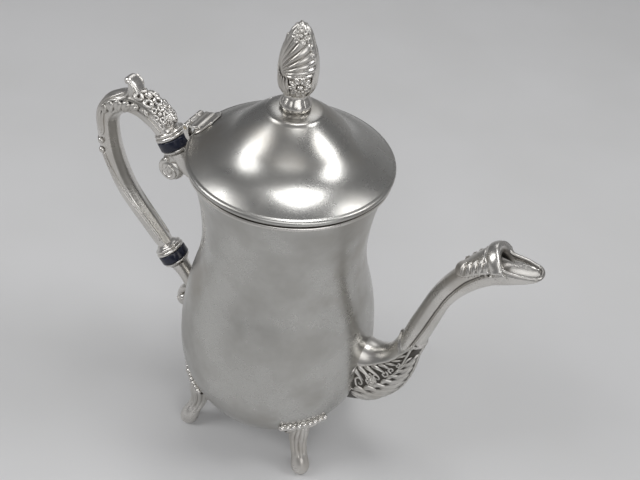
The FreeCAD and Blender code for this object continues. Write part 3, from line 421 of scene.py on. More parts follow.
def stay_outside(points, depth):
    """Points nearer to the axis than the wall less a depth are moved straight out to that radius."""
    reach = np.hypot(points[..., 0], points[..., 1])
    need = wall_radius(np.clip(points[..., 2], BASE[1], MOUTH[1])) - depth
    scale = np.maximum(need / np.maximum(reach, 1e-6), 1.0)
    return points * np.stack([scale, scale, np.ones_like(scale)], -1)


print("belly radius:", BELLY[0], "mm, neck radius:", NECK[0], "mm")


# %% Vessel
def drill(piece, base, heading, radius, depth):
    """Cut a round hole: a drill-shaped cylinder is taken away, and the cut mesh kept."""
    bit = lathe([(0, 0), (radius, 0), (radius, depth), (0, depth)], 40, base, heading)
    cutter = cast("drill", [bit], "pot", pin_metal)
    cut = piece.modifiers.new("hole", "BOOLEAN")
    cut.operation, cut.solver, cut.object = "DIFFERENCE", "EXACT", cutter
    graph = bpy.context.evaluated_depsgraph_get()
    mesh = bpy.data.meshes.new_from_object(piece.evaluated_get(graph))
    piece.modifiers.clear()
    piece.data = mesh
    mesh.materials.clear()
    mesh.materials.append(satin_painted_dark)
    bpy.data.objects.remove(cutter)
    print(f"{piece.name}: a hole of {2 * radius} mm")


rise = np.linspace(BASE[1] + 0.8, MOUTH[1] - LIP, 130)
fall = np.linspace(MOUTH[1] - LIP, BASE[1] + 3.5, 80)
vessel_profile = np.concatenate([
    np.add([(0, 1.0), (20, 1.0), (24, 0.6), (26.5, 0), (28.5, 0), (29.8, 0.2)], (0, BASE[1])),
    np.stack([wall_radius(rise), rise], 1),
    oval(MOUTH[0] - LIP, MOUTH[1] - LIP, LIP, LIP, np.linspace(0, np.pi, 9)[1:-1]),
    np.stack([wall_radius(fall) - WALL, fall], 1),
    np.add([(30, 2.6), (26, 2.2), (0, 2.2)], (0, BASE[1])),
])
vessel = cast("pot_vessel", [lathe(vessel_profile, 200)], "pot", satin_painted_dark, ["vessel"])
drill(vessel, (40, 0, SPOUT_START[1]), 0, PORT_RADIUS, 20)

# %% [markdown]
# A half-round wire strengthens the mouth. Its upper side lies in the shadow of the lid's edge, so its
# relief falls to 0 there: painted shade, and a dark line shows between the two.

# %% Mouth wire
bow = half_round(15)
wire = np.concatenate([[(45.2, 173.6)], oval(46.1, 174.9, 1.3, 1.3, bow), [(45.2, 176.15)]])
# painted shade: relief falls to 0 on the wire's upper side, where the lid's edge shades it, so it turns dark
gap_painted_shade = np.concatenate([[1], np.interp(bow, [0.45, 0.8], [1, 0]), [0]])[:, None]
cast("rim_wire", [lathe(wire, 200, relief=gap_painted_shade, hollow=True)], "pot", ornate, ["mouth_wire"])

# %% [markdown]
# ## The lid
# The lid is a bell: a round crown that sweeps out into a brim and ends in a rolled bead. Each arc leaves
# the one before at the same slope, so light runs over it without a break. Under it sits a thin bezel that
# finds the mouth. The arcs of the lid are kept, because the hinge's leaf is laid on them later.

# %% Lid and bezel
LID_BASE, BEAD, LID_RADIUS, CROWN_SLOPE = 176.6, 1.6, 48, -28.05
CROWN, BELL, BRIM = (10.4, 204.8), (26.5, 192.3), (37.0, 185.0)
EDGE = (LID_RADIUS - BEAD, LID_BASE + 2 * BEAD)


def bell_line(drop, count):
    """Crown, sweep and brim as three arcs, each leaving the last at its own slope, lowered by a drop."""
    pieces, slope = [], CROWN_SLOPE
    for start, end in ((CROWN, BELL), (BELL, BRIM), (BRIM, EDGE)):
        pieces.append(arc(start, slope, end, count))
        chord = np.subtract(end, start)
        slope = 2 * np.degrees(np.arctan2(chord[1], chord[0])) - slope
    return np.concatenate(pieces) - [0, drop]


bell, inside = bell_line(0, 30), bell_line(WALL, 14)[::-1]
lid_profile = np.concatenate([
    [(0, 204.78), (7.2, 204.78), (8.4, 204.7), (10.4, 204.4), (12.0, 204.0), (12.6, 203.8), (13.0, 203.5)],
    bell[bell[:, 0] > 13.2],
    oval(EDGE[0], LID_BASE + BEAD, BEAD, BEAD, -half_round(15)[1:]),
    [(44, LID_BASE), (42.8, LID_BASE), (42.8, LID_BASE + 1.6)],
    inside[inside[:, 0] < 42.6],
    [(9.6, 203.5), (0, 203.5)],
])
lid = cast("bell_lid", [lathe(lid_profile, 200)], "lid", satin_painted_dark, ["lid"])
drill(lid, (-13.8, 3.5, 192), 90, 1.0, 20)
bezel = [(42.9, 171.9), (44.15, 176.55), (42.95, 176.55), (41.75, 171.9), (42.0, 171.6), (42.6, 171.6)]
cast("locating_bezel", [lathe(bezel, 160, hollow=True)], "lid", satin_painted_dark, ["lid_bezel"])

# %% [markdown]
# ## Lines to carry castings
# Spout and handle follow a drawn line in the middle plane: straight runs and bends that meet without a
# corner. A ring of points is carried along such a line. Ornament is then laid on the finished surface: a
# leaf, a flower or a bead only needs to know where it lies along and around, and the surface says where
# that is in space.


# %% Paths
def walk(start, heading, moves):
    """Table of length, x, z and heading along runs (length) and bends (radius, new heading)."""
    rows, done, (x, z), angle = [], 0.0, start, deg(heading)
    for move in moves:
        turn = deg(move[1]) - angle if len(move) > 1 else 0.0
        length = abs(turn) * move[0] if len(move) > 1 else move[0]
        way = np.linspace(0, length, int(length * 4) + 2)
        face = angle + turn * way / length
        if turn:
            east = length / turn * (np.sin(face) - np.sin(angle))
            north = length / turn * (np.cos(angle) - np.cos(face))
        else:
            east, north = way * np.cos(angle), way * np.sin(angle)
        rows.append(np.stack([done + way, x + east, z + north, face], 1))
        done, x, z, angle = done + length, x + east[-1], z + north[-1], face[-1]
    return np.concatenate(rows)


def along(path, at):
    """Centre and left-hand normal of a path at given lengths. Straight beyond both ends."""
    at = np.asarray(at, float)
    x, z, face = (np.interp(at, path[:, 0], path[:, column]) for column in (1, 2, 3))
    spare = np.minimum(at - path[0, 0], 0) + np.maximum(at - path[-1, 0], 0)
    zero = np.zeros_like(x)
    centre = np.stack([x + spare * np.cos(face), zero, z + spare * np.sin(face)], -1)
    return centre, np.stack([-np.sin(face), zero, np.cos(face)], -1)


print("path helpers are ready")


# %% Strands and beads
def strand(line, radius, flat=1.0, side=ACROSS, steps=12, relief=1.0):
    """A tapering tube along any line: at each point a ring of the given radius, flattened one way."""
    line = np.asarray(line, float)
    way = unit(np.gradient(line, axis=0))
    first = unit(np.cross(way, np.asarray(side, float)))
    second = np.cross(first, way)
    angle = around(steps)
    radius = np.broadcast_to(np.asarray(radius, float), len(line))[:, None, None]
    over, aside = np.cos(angle)[None, :, None], np.sin(angle)[None, :, None]
    ring = over * first[:, None] + flat * aside * second[:, None]
    return tube(line[:, None] + radius * ring, relief, line[[0, -1]])


def bead(centre, radius, squash=(1, 1, 1)):
    """A small ball from rings: radius by the sine and height by the cosine of the angle from the top."""
    angle = np.linspace(0, np.pi, 7)
    ball = turned(np.stack([np.sin(angle), np.cos(angle)], 1), 8)
    return skin(np.asarray(centre) + radius * ball * np.asarray(squash), wrap_v=True)


print("strands and beads are ready")


# %% Leaves laid on a surface
def leaf(surface, pitch, line, width, height, ribs=1, sink=0.5, blunt=0.75, count=22):
    """A leaf on a surface: width is a power of sine along its middle line, height a dome less its veins."""
    line = line_through(line, count)
    run = np.gradient(line, axis=0) * [1.0, pitch]
    run = run / np.linalg.norm(run, axis=1, keepdims=True)
    length, across = np.linspace(0, 1, count), np.linspace(-1, 1, 13)
    spread = width / 2 * np.sin(np.pi * np.clip(length * 0.94 + 0.06, 0, 1)) ** blunt
    shift = spread[:, None] * across
    base, outward = surface(line[:, :1] - run[:, 1:] * shift, line[:, 1:] + run[:, :1] * shift / pitch)
    fullness = 0.45 + 0.55 * np.sin(np.pi * length)[:, None] ** 0.6
    dome = np.sqrt(np.maximum(1 - across ** 2, 0))[None] * fullness
    groove = 0.34 * np.exp(-(across / 0.16) ** 2)[None]
    if ribs > 1:
        slant = across[None] ** 2 * 2.2 + length[:, None] * ribs
        groove = groove + 0.2 * (0.5 - 0.5 * np.cos(TURN * slant)) * (np.abs(across) > 0.1)
    top = base + outward * (height * np.maximum(dome - groove * dome, 0.0))[..., None]
    return pillow(top, base - outward * sink, np.clip(1.1 * dome - 1.5 * groove, 0, 1))


print("leaf helper is ready")


# %% Flowers laid on a surface
def cup(surface, pitch, place, size, height, facing=0.0, hollow=0.6, sink=0.6):
    """A round or oval petal: a dome, the root of 1 less a power of the distance, with a dimple."""
    angle = around(18)
    out = np.array([0, 0.2, 0.4, 0.55, 0.68, 0.78, 0.88, 0.95, 1.0])[:, None]
    x, y = size[0] * out * np.cos(angle), size[1] * out * np.sin(angle)
    x, y = x * np.cos(facing) - y * np.sin(facing), x * np.sin(facing) + y * np.cos(facing)
    base, outward = surface(place[0] + x, place[1] + y / pitch)
    dimple = hollow * np.exp(-((out / 0.52) ** 2))
    lift = np.sqrt(np.maximum(1 - out ** 2.8, 0)) * (1 - dimple) + 0 * angle
    shade = np.clip((1 - 1.15 * dimple) * step(lift, 0.0, 0.5), 0, 1)
    top, below = base + outward * (height * lift)[..., None], (base - outward * sink)[::-1]
    return skin(np.concatenate([top, below]), wrap_v=True, relief=np.concatenate([shade, shade * 0]))


def flower(surface, pitch, place, radius, height, petals=5, turn=0.0, hollow=0.85, sink=0.6):
    """A ring of dimpled petals round a small dome. Each petal stands at an equal share of the full turn."""
    eye = 0.27 * radius
    parts = [cup(surface, pitch, place, (eye, eye), 1.1 * height, hollow=0.0, sink=sink)]
    wide = 0.66 * radius * np.sin(np.pi / petals)
    for angle in turn + TURN * np.arange(petals) / petals:
        x, y = 0.63 * radius * np.cos(angle), 0.63 * radius * np.sin(angle)
        spot = (place[0] + x, place[1] + y / pitch)
        parts.append(cup(surface, pitch, spot, (0.37 * radius, wide), height, angle, hollow, sink))
    return parts


print("flower helpers are ready")


# %% Vines laid on a surface
def vine(surface, line, radius, count=40, raised=0.0, taper=(1, 1)):
    """A raised thread on a surface along a line of (length, angle), tapering from one share to another."""
    line = line_through(line, count)
    point, outward = surface(line[:, 0], line[:, 1])
    round_end = np.sqrt(np.clip(np.sin(np.linspace(0.12, np.pi - 0.12, count)) * 4, 0, 1))
    share = np.linspace(taper[0], taper[1], count) * round_end
    return strand(point + outward * raised, radius * share, side=outward.mean(0), steps=10)


def tendril(surface, pitch, place, size, start, turns, radius):
    """A curling thread: the distance from its middle falls evenly while the angle goes round."""
    share = np.linspace(0, 1, 14)
    angle = start + TURN * turns * share
    out = size * (1 - 0.82 * share)
    line = np.stack([place[0] + out * np.cos(angle), place[1] + out * np.sin(angle) / pitch], 1)
    return vine(surface, line, radius, 36, 0.15, (1, 0.7))


print("vine helpers are ready")

# %% [markdown]
# ## The spout
# The spout is cast hollow in two halves: a tall leafy root on the belly, a slim tube with a raised line
# on each side, a sleeve with a ruffled edge, a thick roll and an open beak. Its surface is one ring
# function of the length along its line and the angle round it. Points that would lie inside the vessel
# are drawn back to its wall, so the root ends in the metal of the wall and not in the coffee. A curve
# with a round bevel would be quicker, but its section could not change from tall to round and carry
# leaves.

# %% Spout surface
SPOUT_LINE = walk(SPOUT_START, 15, [(30, 77), (41.4,), (56, 27), (10.4,)])
SPOUT_AT = [-14, 0, 10.8, 21.6, 32.5, 53.2, 73.9, 91.5, 104, 113, 121]
SPOUT_TALL = [49, 47.5, 36.5, 23, 14.6, 12.6, 11.6, 12.4, 14.2, 16.6, 17.6]
SPOUT_WIDE = [26, 25, 21, 17, 14.4, 12.6, 11.4, 12.4, 13.6, 15.2, 15.6]
SPOUT_RAISE = [0, 0, 0, 0, 0, 0, 0, 0, 0.6, 1.6, 1.9]
SPOUT_ROOT, SPOUT_END, SPOUT_WALL, END_SLANT = -14, 121.4, 1.5, 2.6


def spout_surface(s, q, inset=0.0):
    """Point and outward direction at length s and angle q from the top, on an oval ring less an inset."""
    s, q = np.broadcast_arrays(np.asarray(s, float), np.asarray(q, float))
    rows = (SPOUT_TALL, SPOUT_WIDE, SPOUT_RAISE)
    tall, wide, raised = (spline(SPOUT_AT, row, s)[..., None] for row in rows)
    over, aside = np.cos(q)[..., None], np.sin(q)[..., None]
    centre, up = along(SPOUT_LINE, s)
    outward = unit(over * up / tall + aside * ACROSS / wide)
    ring = tall / 2 * over * up + wide / 2 * aside * ACROSS
    return centre + raised * up + ring - outward * np.asarray(inset)[..., None], outward


print("spout line:", round(SPOUT_LINE[-1, 0], 1), "mm long")


# %% Relief of the spout
def collar_edge(side):
    """Length at which the leafy root ends, by the angle from the upper side."""
    return np.interp(np.degrees(side), [0, 12, 73, 90, 103, 150, 180], [46, 45.5, 38.4, 42, 46, 47.5, 48])


def leaf_border(s):
    """Angle from the upper side at which the smooth saddle of the root gives way to leaves."""
    return deg(np.interp(s, [-14, 9, 22, 30, 37, 46], [64, 61, 57, 65, 77, 102]))


def hem(s):
    """Angle from the upper side at which the sleeve ends."""
    return deg(np.interp(s, [96, 99.8, 102, 109.6, 116.3, 121], [20, 51, 63, 74, 81, 85]))


def spout_relief(s, q):
    """Root over the tube, side line, sleeve, roll and the sunk ground under the leaves, in millimetres."""
    side = from_zero(q)
    ridge = deg(np.interp(s, [30, 46, 60, 77, 90, 100, 119], [88, 101, 108, 113, 100, 89, 87]))
    across = (side - ridge) * spline(SPOUT_AT, SPOUT_TALL, s) / 2
    line = 0.75 * bump_at(across, 0.3, 0.42) - 0.8 * bump_at(across, -0.75, 0.5)
    line = line - 0.35 * bump_at(across, 1.5, 0.8)
    past = s - collar_edge(side)
    root = 0.55 * (1 - step(past, -0.7, 0.2)) + 0.55 * bump_at(past, -0.9, 0.8)
    sleeve = step(s, 97.0, 98.4) * (1 - step(side, hem(s) - 0.05, hem(s) + 0.07))
    sleeve = sleeve * (1 + 0.45 * bump_at(s, 98.6, 1.4))
    edge_roll = 0.35 * step(s, 98, 100) * bump_at(side, hem(s) - 0.1, 0.09)
    roll = 1.5 * np.sqrt(np.maximum(1 - ((s - 118.9) / 3.2) ** 2, 0)) * (1 - 0.9 * step(side, 1.45, 2.0))
    groove = -0.5 * bump_at(s, 115.2, 0.6) * (1 - step(side, 1.2, 1.6))
    ground = 0.65 * (1 - step(past, -2.2, -1.2)) * step(side, leaf_border(s), leaf_border(s) + 0.09)
    return step(s, 40, 47) * line + root + 0.95 * sleeve + edge_roll + roll + groove - ground


print("relief on top of the roll:", round(float(spout_relief(118.9, 0.0)), 2), "mm")


# %% Spout tube
def spout_tube():
    """The outside with its relief and the bore inside it, joined at the wall and at the slanted end."""
    stretches = ((SPOUT_ROOT, 26, 60), (26.5, 91, 84), (91.5, SPOUT_END, 90))
    s = np.concatenate([np.linspace(*stretch) for stretch in stretches])[:, None]
    q = around(160)[None]
    lift, slant = spout_relief(s, q), (0.5 + 0.5 * np.cos(q)) * END_SLANT
    outer, outward = spout_surface(s - slant * step(s, 106, 121), q)
    outer = stay_outside(outer + outward * lift[..., None], IN_WALL)
    back = np.linspace(SPOUT_END, SPOUT_ROOT, 70)[:, None]
    thick = SPOUT_WALL + 0.9 * step(back, 112, 118)
    bore = stay_outside(spout_surface(back - slant * step(back, 106, 121), q, thick)[0], 0.75)
    ground = (lift < 0.2) * (s < 47) * (from_zero(q) > leaf_border(s) + 0.05)
    tone = np.clip(0.9 + np.minimum(lift, 0), 0.2, 1) - 0.65 * ground
    # painted shade: the bore is kept almost black inside, a little lighter towards the open end where light
    # comes in
    bore_painted_shade = np.broadcast_to(0.05 + 0.15 * step(back, 104, 121), bore.shape[:2])
    return skin(np.concatenate([outer, bore]), True, True, np.concatenate([tone, bore_painted_shade]))


spout_skins = [spout_tube()]
print("spout tube:", len(spout_skins[0][0]), "points")

# %% [markdown]
# The beak is a spoon that grows out of the lower half of the roll and ends in a wide round tip. It is a
# half-round section carried forwards, drawn once as an outer and once as an inner surface a wall apart. A
# rounded lip runs along its edge from one side of the roll to the other.

# %% Beak
BEAK_ROOT, BEAK_TURN, BEAK_TIP, BEAK_WALL, BEAK_TIP_HALF, BEAK_LIP = 101.5, 117.5, 121.7, 1.3, 5.4, 0.95


def trough(x, half, rim, bottom):
    """A half-round section: half-width times sine across, and depth times a power of cosine below the rim."""
    sweep = half_round(33)
    x, half, rim, depth = (row[:, None] for row in (x, half, rim, rim - bottom))
    return np.stack([x + 0 * sweep, half * np.sin(sweep), rim - depth * np.cos(sweep) ** 0.7], -1)


def beak():
    """Spoon and lip. The half-width follows an ellipse beyond the turn to the tip."""
    tip = BEAK_TIP - BEAK_TURN
    ahead = tip * np.sin(np.linspace(0.06, np.pi / 2, 18))
    x = np.concatenate([np.linspace(BEAK_ROOT, BEAK_TURN, 44), BEAK_TURN + ahead])
    marks = [BEAK_ROOT, 103.5, 107.5, 111.5, 115.5, BEAK_TURN]
    half = np.interp(x, marks, [7.5, 7.6, 7.3, 7.0, 6.2, BEAK_TIP_HALF])
    ellipse = BEAK_TIP_HALF * np.sqrt(np.maximum(1 - ((x - BEAK_TURN) / tip) ** 2, 0))
    half = np.where(x > BEAK_TURN, ellipse, half)
    rim = 162.2 + 1.6 * bump_at(x, 102.0, 3.0)
    marks = [BEAK_ROOT, 105.1, 113.1, 118.5, BEAK_TIP]
    keel = spline(marks, [148.6, 150.4, 155.0, 158.4, 161.5], x)
    bottom = spline(marks, [157.0, 157.6, 159.4, 160.8, 162.1], x)
    inner_half = np.maximum(half - BEAK_WALL, 0) * np.clip((BEAK_TIP - 1.1 - x) / 2, 0, 1) ** 0.3
    shell, hollow = trough(x, half, rim, keel), trough(x, inner_half, rim, np.minimum(bottom, rim - 0.02))
    crest = (shell[:, [-1, 0]] + hollow[:, [-1, 0]]) / 2
    spoon = np.concatenate([shell, crest[:, :1], hollow[:, ::-1], crest[:, 1:]], 1)
    tone = np.full(spoon.shape[:2], 0.95)
    # painted shade: the spoon's inside is darker towards the roll and lighter towards the tip
    tone[:, 34:67] = 0.3 + 0.55 * step(x, 103, 113)[:, None]
    flank_x = np.linspace(103, 117, 6)
    flank = np.stack([flank_x, np.interp(flank_x, x, half) - BEAK_WALL / 2], 1)
    nose = oval(BEAK_TURN, 0, 3.5, 4.75, -half_round(11))
    lip = np.concatenate([flank, nose, (flank * [1, -1])[::-1]])
    lip = np.insert(line_through(lip, 140), 2, 0.0, axis=1)
    lip[:, 2] = np.interp(lip[:, 0], x, rim)
    return [tube(spoon, tone), strand(lip, BEAK_LIP, side=(0, 0, 1), steps=16, relief=0.4)]


spout_skins += beak()
print("beak: spoon and lip")

# %% [markdown]
# Leaves fill the lower root on both sides: a stem under the raised line, and from it broad leaves that
# lap over each other and reach past the lower edge, so the outline is scalloped as on the casting.

# %% Leaves on the spout's root
SIDES = (1, -1)
GIRTH, SLEEVE_GIRTH, UNDER_GIRTH = 11.0, 6.8, 10.0
ROOT_LEAVES = (  # (step along, share of the zone) from root to tip, then width, height and ribs
    ([(0, 0.05), (3.2, 0.1), (5.6, 0.25)], 2.6, 1.3, 1),
    ([(-3, 0.44), (0.6, 0.56), (6.4, 0.82)], 4.6, 1.7, 3),
    ([(-1, 0.4), (1.6, 0.38), (4.8, 0.5)], 2.6, 1.5, 1),
)
HEM_LEAF = ((0, 4), (1.2, -12), (4.4, -40))  # step along and degrees from the sleeve's edge
ROOT_STEMS = (  # (length, share of the zone) along the stem, then its radius
    ([(-8, 0.0), (6, 0.0), (16, 0.0), (25, 0.0), (33, 0.0), (41, 0.0), (46, 0.0)], 0.7),
    ([(-6, 0.36), (6, 0.4), (18, 0.38), (29, 0.36), (40, 0.22), (45, 0.06)], 0.6),
)


def root_surface(s, q):
    """The spout's surface where leaves lie, kept outside the wall."""
    point, outward = spout_surface(s, q, 0.45)
    return stay_outside(point, 0.3), outward


def in_zone(places, side):
    """Places given as (length, share from the leaf border to the underside), as (length, angle)."""
    s, share = np.asarray(places, float).T
    border = leaf_border(s)
    return np.stack([s, side * (border + share * (np.pi - border))], 1)


for side in SIDES:
    for number, at in enumerate(np.linspace(1, 33, 8)):
        for places, wide, height, ribs in ROOT_LEAVES:
            line, size = in_zone(np.add(places, (at, 0)), side), 1 - 0.05 * number
            spout_skins.append(leaf(root_surface, side * GIRTH, line, wide * size, height, ribs, 0.8))
    for number, at in enumerate(np.linspace(4, 29, 6)):
        spot, start = in_zone([(at, 0.27)], side)[0], (2.4, -0.6)[number % 2]
        spout_skins.append(tendril(root_surface, side * GIRTH, spot, 2.3 - 0.12 * number, start, 1.1, 0.62))
    for places, thick in ROOT_STEMS:
        spout_skins.append(vine(root_surface, in_zone(places, side), thick, 70, 0.25, (0.8, 1)))
    spout_skins += flower(root_surface, side * GIRTH, in_zone([(10.5, 0.26)], side)[0], 3.0, 1.3, 6)
    for at in 100.2 + 2.9 * np.arange(5):
        line = [(at + ahead, side * (hem(at) + deg(turn))) for ahead, turn in HEM_LEAF]
        spout_skins.append(leaf(spout_surface, side * SLEEVE_GIRTH, line, 2.9, 2.0, sink=0.2))
for number, at in enumerate(np.linspace(-6, 35, 8)):
    line = [(at + ahead, np.pi) for ahead in (0, 5, 12)]
    spout_skins.append(leaf(root_surface, UNDER_GIRTH, line, 5.6 - number * 0.25, 1.9, 4, 0.8))
cast("leafy_spout", spout_skins, "pot", ornate, ["spout"])

# %% [markdown]
# ## The handle
# The handle is a solid casting between two insulating rings. Its section is a softened hexagon that
# tapers to the lower ring, with two raised lines along the back. A leaf sheath wraps the turn, and the
# upper arm carries flowers under a scroll for the thumb. The sheath and flowers are laid on the same
# surface function as the grip itself. Carving by hand would do for one look, but here each leaf follows
# when a size of the grip changes.

# %% Handle surface
HANDLE_START, HANDLE_LEAN, HANDLE_FOOT = (-63.856, 166.419), 119.5, 308
HANDLE_LINE = walk(HANDLE_START, HANDLE_LEAN, [(24, 180), (16.5, 266), (72, HANDLE_FOOT), (30.2,)])
HANDLE_END = HANDLE_LINE[-1, 0]
GRIP_AT = [0, 12.67, 25.34, 37.7, 50.1, 76.5, 102.9, HANDLE_END]
GRIP_WIDE = [12.4, 12.6, 11.5, 11.9, 11.3, 11.1, 9.8, 9.0]
GRIP_INSET = 0.3


def handle_surface(s, q):
    """Point and outward direction at length s and angle q from the outer side, on a softened hexagon."""
    s, q = np.broadcast_arrays(np.asarray(s, float), np.asarray(q, float))
    centre, inner = along(HANDLE_LINE, s)
    outward = np.sin(q)[..., None] * ACROSS - np.cos(q)[..., None] * inner
    radius = spline(GRIP_AT, GRIP_WIDE, s) / 2 * (1 - 0.035 * (1 - np.cos(6 * q)))
    return centre + radius[..., None] * outward, outward


print("handle line:", round(HANDLE_END, 1), "mm long")


# %% Relief of the handle
def flower_bed(s, side):
    """Height of the mound under the flowers of the upper arm: highest near the thumb, none on the flanks."""
    ends = step(s, 4.5, 7.5) * (1 - step(s, 24, 28))
    return (1.1 + 1.1 * step(s, 10, 16)) * ends * (1 - step(side, deg(46), deg(66)))


def arm_top(s, q):
    """The handle's surface raised by the bed that carries the flowers."""
    point, outward = handle_surface(s, q)
    return point + flower_bed(s, np.abs(q))[..., None] * outward, outward


def handle_relief(s, q):
    """Two raised lines along the back, with a shallow channel between them, fading in under the sheath."""
    side = from_zero(q)
    across = side * spline(GRIP_AT, GRIP_WIDE, s) / 2
    fade = step(s, 30, 44) * (1 - step(s, 124, 128))
    lines = 0.55 * bump_at(across, 3.3, 0.5) - 0.3 * bump_at(across, 4.4, 0.5)
    lines = lines - 0.35 * bump_at(across, 0, 2.2)
    return fade * (lines + 0.3 * bump_at(side, deg(118), 0.22)) + flower_bed(s, side)


print("flower bed:", round(float(flower_bed(18.2, 0.0)), 2), "mm high")


# %% Grip and flanges
def grip():
    """The handle's tube with its relief, darker in the channel and round the flowers."""
    ends = [GRIP_INSET, HANDLE_END - GRIP_INSET]
    s, q = np.linspace(*ends, 200)[:, None], around(96)[None]
    lift, bed = handle_relief(s, q), flower_bed(s, from_zero(q))
    point, outward = handle_surface(s, q)
    tone = np.clip(0.8 + 1.1 * (lift - bed) - 0.35 * np.minimum(bed, 1.3), 0.15, 1)
    return tube(point + outward * lift[..., None], tone, along(HANDLE_LINE, ends)[0])


flange = np.concatenate([
    [(0, 0.05), (7.2, 0.05)],
    oval(7.0, 1.05, 1.0, 1.0, half_round(9)),
    [(6.9, 2.1)],
    oval(6.7, 2.95, 0.85, 0.8, half_round(9)),
    [(5.9, 4.1), (5.2, 5.2), (0, 5.2)],
])
upper_end, lower_end = (np.array([x, 0, z]) for x, z in (HANDLE_START, HANDLE_LINE[-1, 1:3]))
handle_skins = [
    grip(),
    lathe(flange, 72, upper_end, HANDLE_LEAN, 0.9),
    lathe(flange, 72, lower_end, HANDLE_FOOT - 180, 0.9),
]
print("grip and two flanges")

# %% [markdown]
# Lines, leaves and flowers are written as places on the handle, in millimetres along it and degrees round
# it. Most are laid on both sides from one table. Two bands with beads at their ends close the sheath.

# %% Places on the handle
PITCH, FLOWER_PITCH = 7.0, 8.5
HANDLE_LINES = (  # places, then the line's radius
    ([(4.8, 84), (12, 84), (20.4, 84)], 0.55),
    ([(4.8, 63), (11, 64), (17.5, 66)], 0.5),
    ([(24.0, 20), (26.2, 34), (28.3, 56), (32, 61), (36.3, 60), (41, 64), (45, 74), (50, 80), (55.5, 84)],
     0.85),
    ([(28, 18), (30, 34), (33, 44), (38, 48), (43, 55), (48, 66), (54, 76)], 0.7),
    ([(41, 82), (45, 92), (50, 98), (54, 97), (56.5, 88)], 0.7),
    ([(67, 74), (80, 94), (92.9, 111), (110, 124), (124, 128)], 0.6),
    ([(68, 62), (80, 80), (92.9, 97), (110, 110), (124, 114)], 0.5),
)
SHEATH_LEAVES = (  # length along, first and last degree, width
    (22.0, 56, 98, 4.6), (26.4, 64, 120, 5.4), (31.0, 66, 124, 5.6),
    (35.6, 66, 112, 5.2), (39.8, 68, 100, 4.4),
)
SHEATH_TIP = [(43, 78), (49, 89), (56, 88)]
ARM_LEAVES = (  # places, then width
    ([(9.5, 18), (7.0, 14), (4.6, 14)], 2.4),
    ([(14.5, 44), (15.5, 58), (13.5, 68)], 3.0),
    ([(19, 46), (21.0, 58), (20.2, 72)], 3.4),
    ([(22, 40), (24.2, 48), (25, 60)], 3.0),
    ([(9.5, 48), (8.0, 58), (6.0, 58)], 2.2),
)
BANDS = ((60.2, 76), (65.8, 68))  # length along, degrees to each end
print("on each side:", len(HANDLE_LINES), "lines and", len(SHEATH_LEAVES) + len(ARM_LEAVES) + 1, "leaves")


# %% Sheath and flowers
def mirrored(places, side):
    """Places on the handle given as (length, degrees), on one side or the other."""
    return [(at, deg(turn) * side) for at, turn in places]


for side in SIDES:
    pitch = PITCH * side
    for places, thick in HANDLE_LINES:
        handle_skins.append(vine(handle_surface, mirrored(places, side), thick, 60, 0.1))
    for at, start, end, wide in SHEATH_LEAVES:
        places = mirrored([(at - 2.5, start), (at - 0.2, (start + end) / 2), (at + 1.0, end)], side)
        handle_skins.append(leaf(handle_surface, pitch, places, wide, 2.1, blunt=0.5))
    handle_skins.append(leaf(handle_surface, pitch, mirrored(SHEATH_TIP, side), 3.6, 0.9))
    handle_skins += flower(arm_top, pitch, (10.8, deg(31) * side), 3.8, 1.4, 5, 0.3, 0.75)
    handle_skins += flower(arm_top, pitch, (6.9, deg(24) * side), 2.6, 1.1, 5, 0.0, 0.6)
    for places, wide in ARM_LEAVES:
        handle_skins.append(leaf(handle_surface, pitch, mirrored(places, side), wide, 1.6, sink=0.8))
    for place in mirrored(BANDS, side):
        handle_skins.append(cup(handle_surface, pitch, place, (1.7, 2.1), 1.6, hollow=0.0))
handle_skins += flower(arm_top, FLOWER_PITCH, (18.2, deg(-8)), 6.2, 2.2, 5, 0.45, 0.85, 1.0)
handle_skins.append(leaf(handle_surface, PITCH, [(14, 0), (9, 0), (4.8, 0)], 4.2, 1.9, 3, 0.8))
for at, reach in BANDS:
    band = mirrored([(at, turn) for turn in (-reach, -30, 30, reach)], 1)
    handle_skins.append(vine(handle_surface, band, 0.85))
print("handle so far:", len(handle_skins), "skins")

# %% [markdown]
# The thumb rests on a scroll that grows out of the flowers, rolls over at the top and runs down into the
# sheath. Its side view lies between two edge lines, and raised rims follow the edge of the roll.

# %% Thumb scroll
SCROLL_STEPS = 110
SCROLL_FRONT = [(-76.5, 178.0), (-77.6, 183.0), (-79.4, 186.8), (-81.0, 189.6), (-83.0, 191.9),
                (-85.2, 192.9), (-87.0, 192.2), (-87.5, 190.7), (-86.6, 189.4)]
SCROLL_BACK = [(-99.5, 173.0), (-92.0, 179.0), (-86.8, 183.6), (-84.5, 186.4), (-83.9, 188.5),
               (-84.2, 189.8), (-85.0, 190.5), (-85.6, 190.3), (-85.8, 189.6)]
SCROLL_HALF = [4.6, 4.5, 4.3, 4.1, 4.0, 3.9, 3.6, 3.3, 2.9]
SCROLL_VEIN = [(-85.0, 191.9), (-82.6, 190.4), (-81.6, 188.2), (-82.2, 185.8), (-84.2, 183.2),
               (-87.6, 180.6)]


def hook(front, back, halves):
    """A form between two edge lines: a rounded box, by powers of cosine and sine, spans them at each step."""
    half = spline(np.linspace(0, 1, len(halves)), halves, np.linspace(0, 1, len(front)))
    angle = around(36)
    over, across = (np.sign(f) * np.abs(f) ** 0.45 for f in (np.cos(angle), np.sin(angle)))
    middle, reach = (front + back) / 2, (front - back) / 2
    plane = middle[:, None] + over[None, :, None] * reach[:, None]
    return tube(np.stack([plane[..., 0], half[:, None] * across, plane[..., 1]], -1), 0.95)


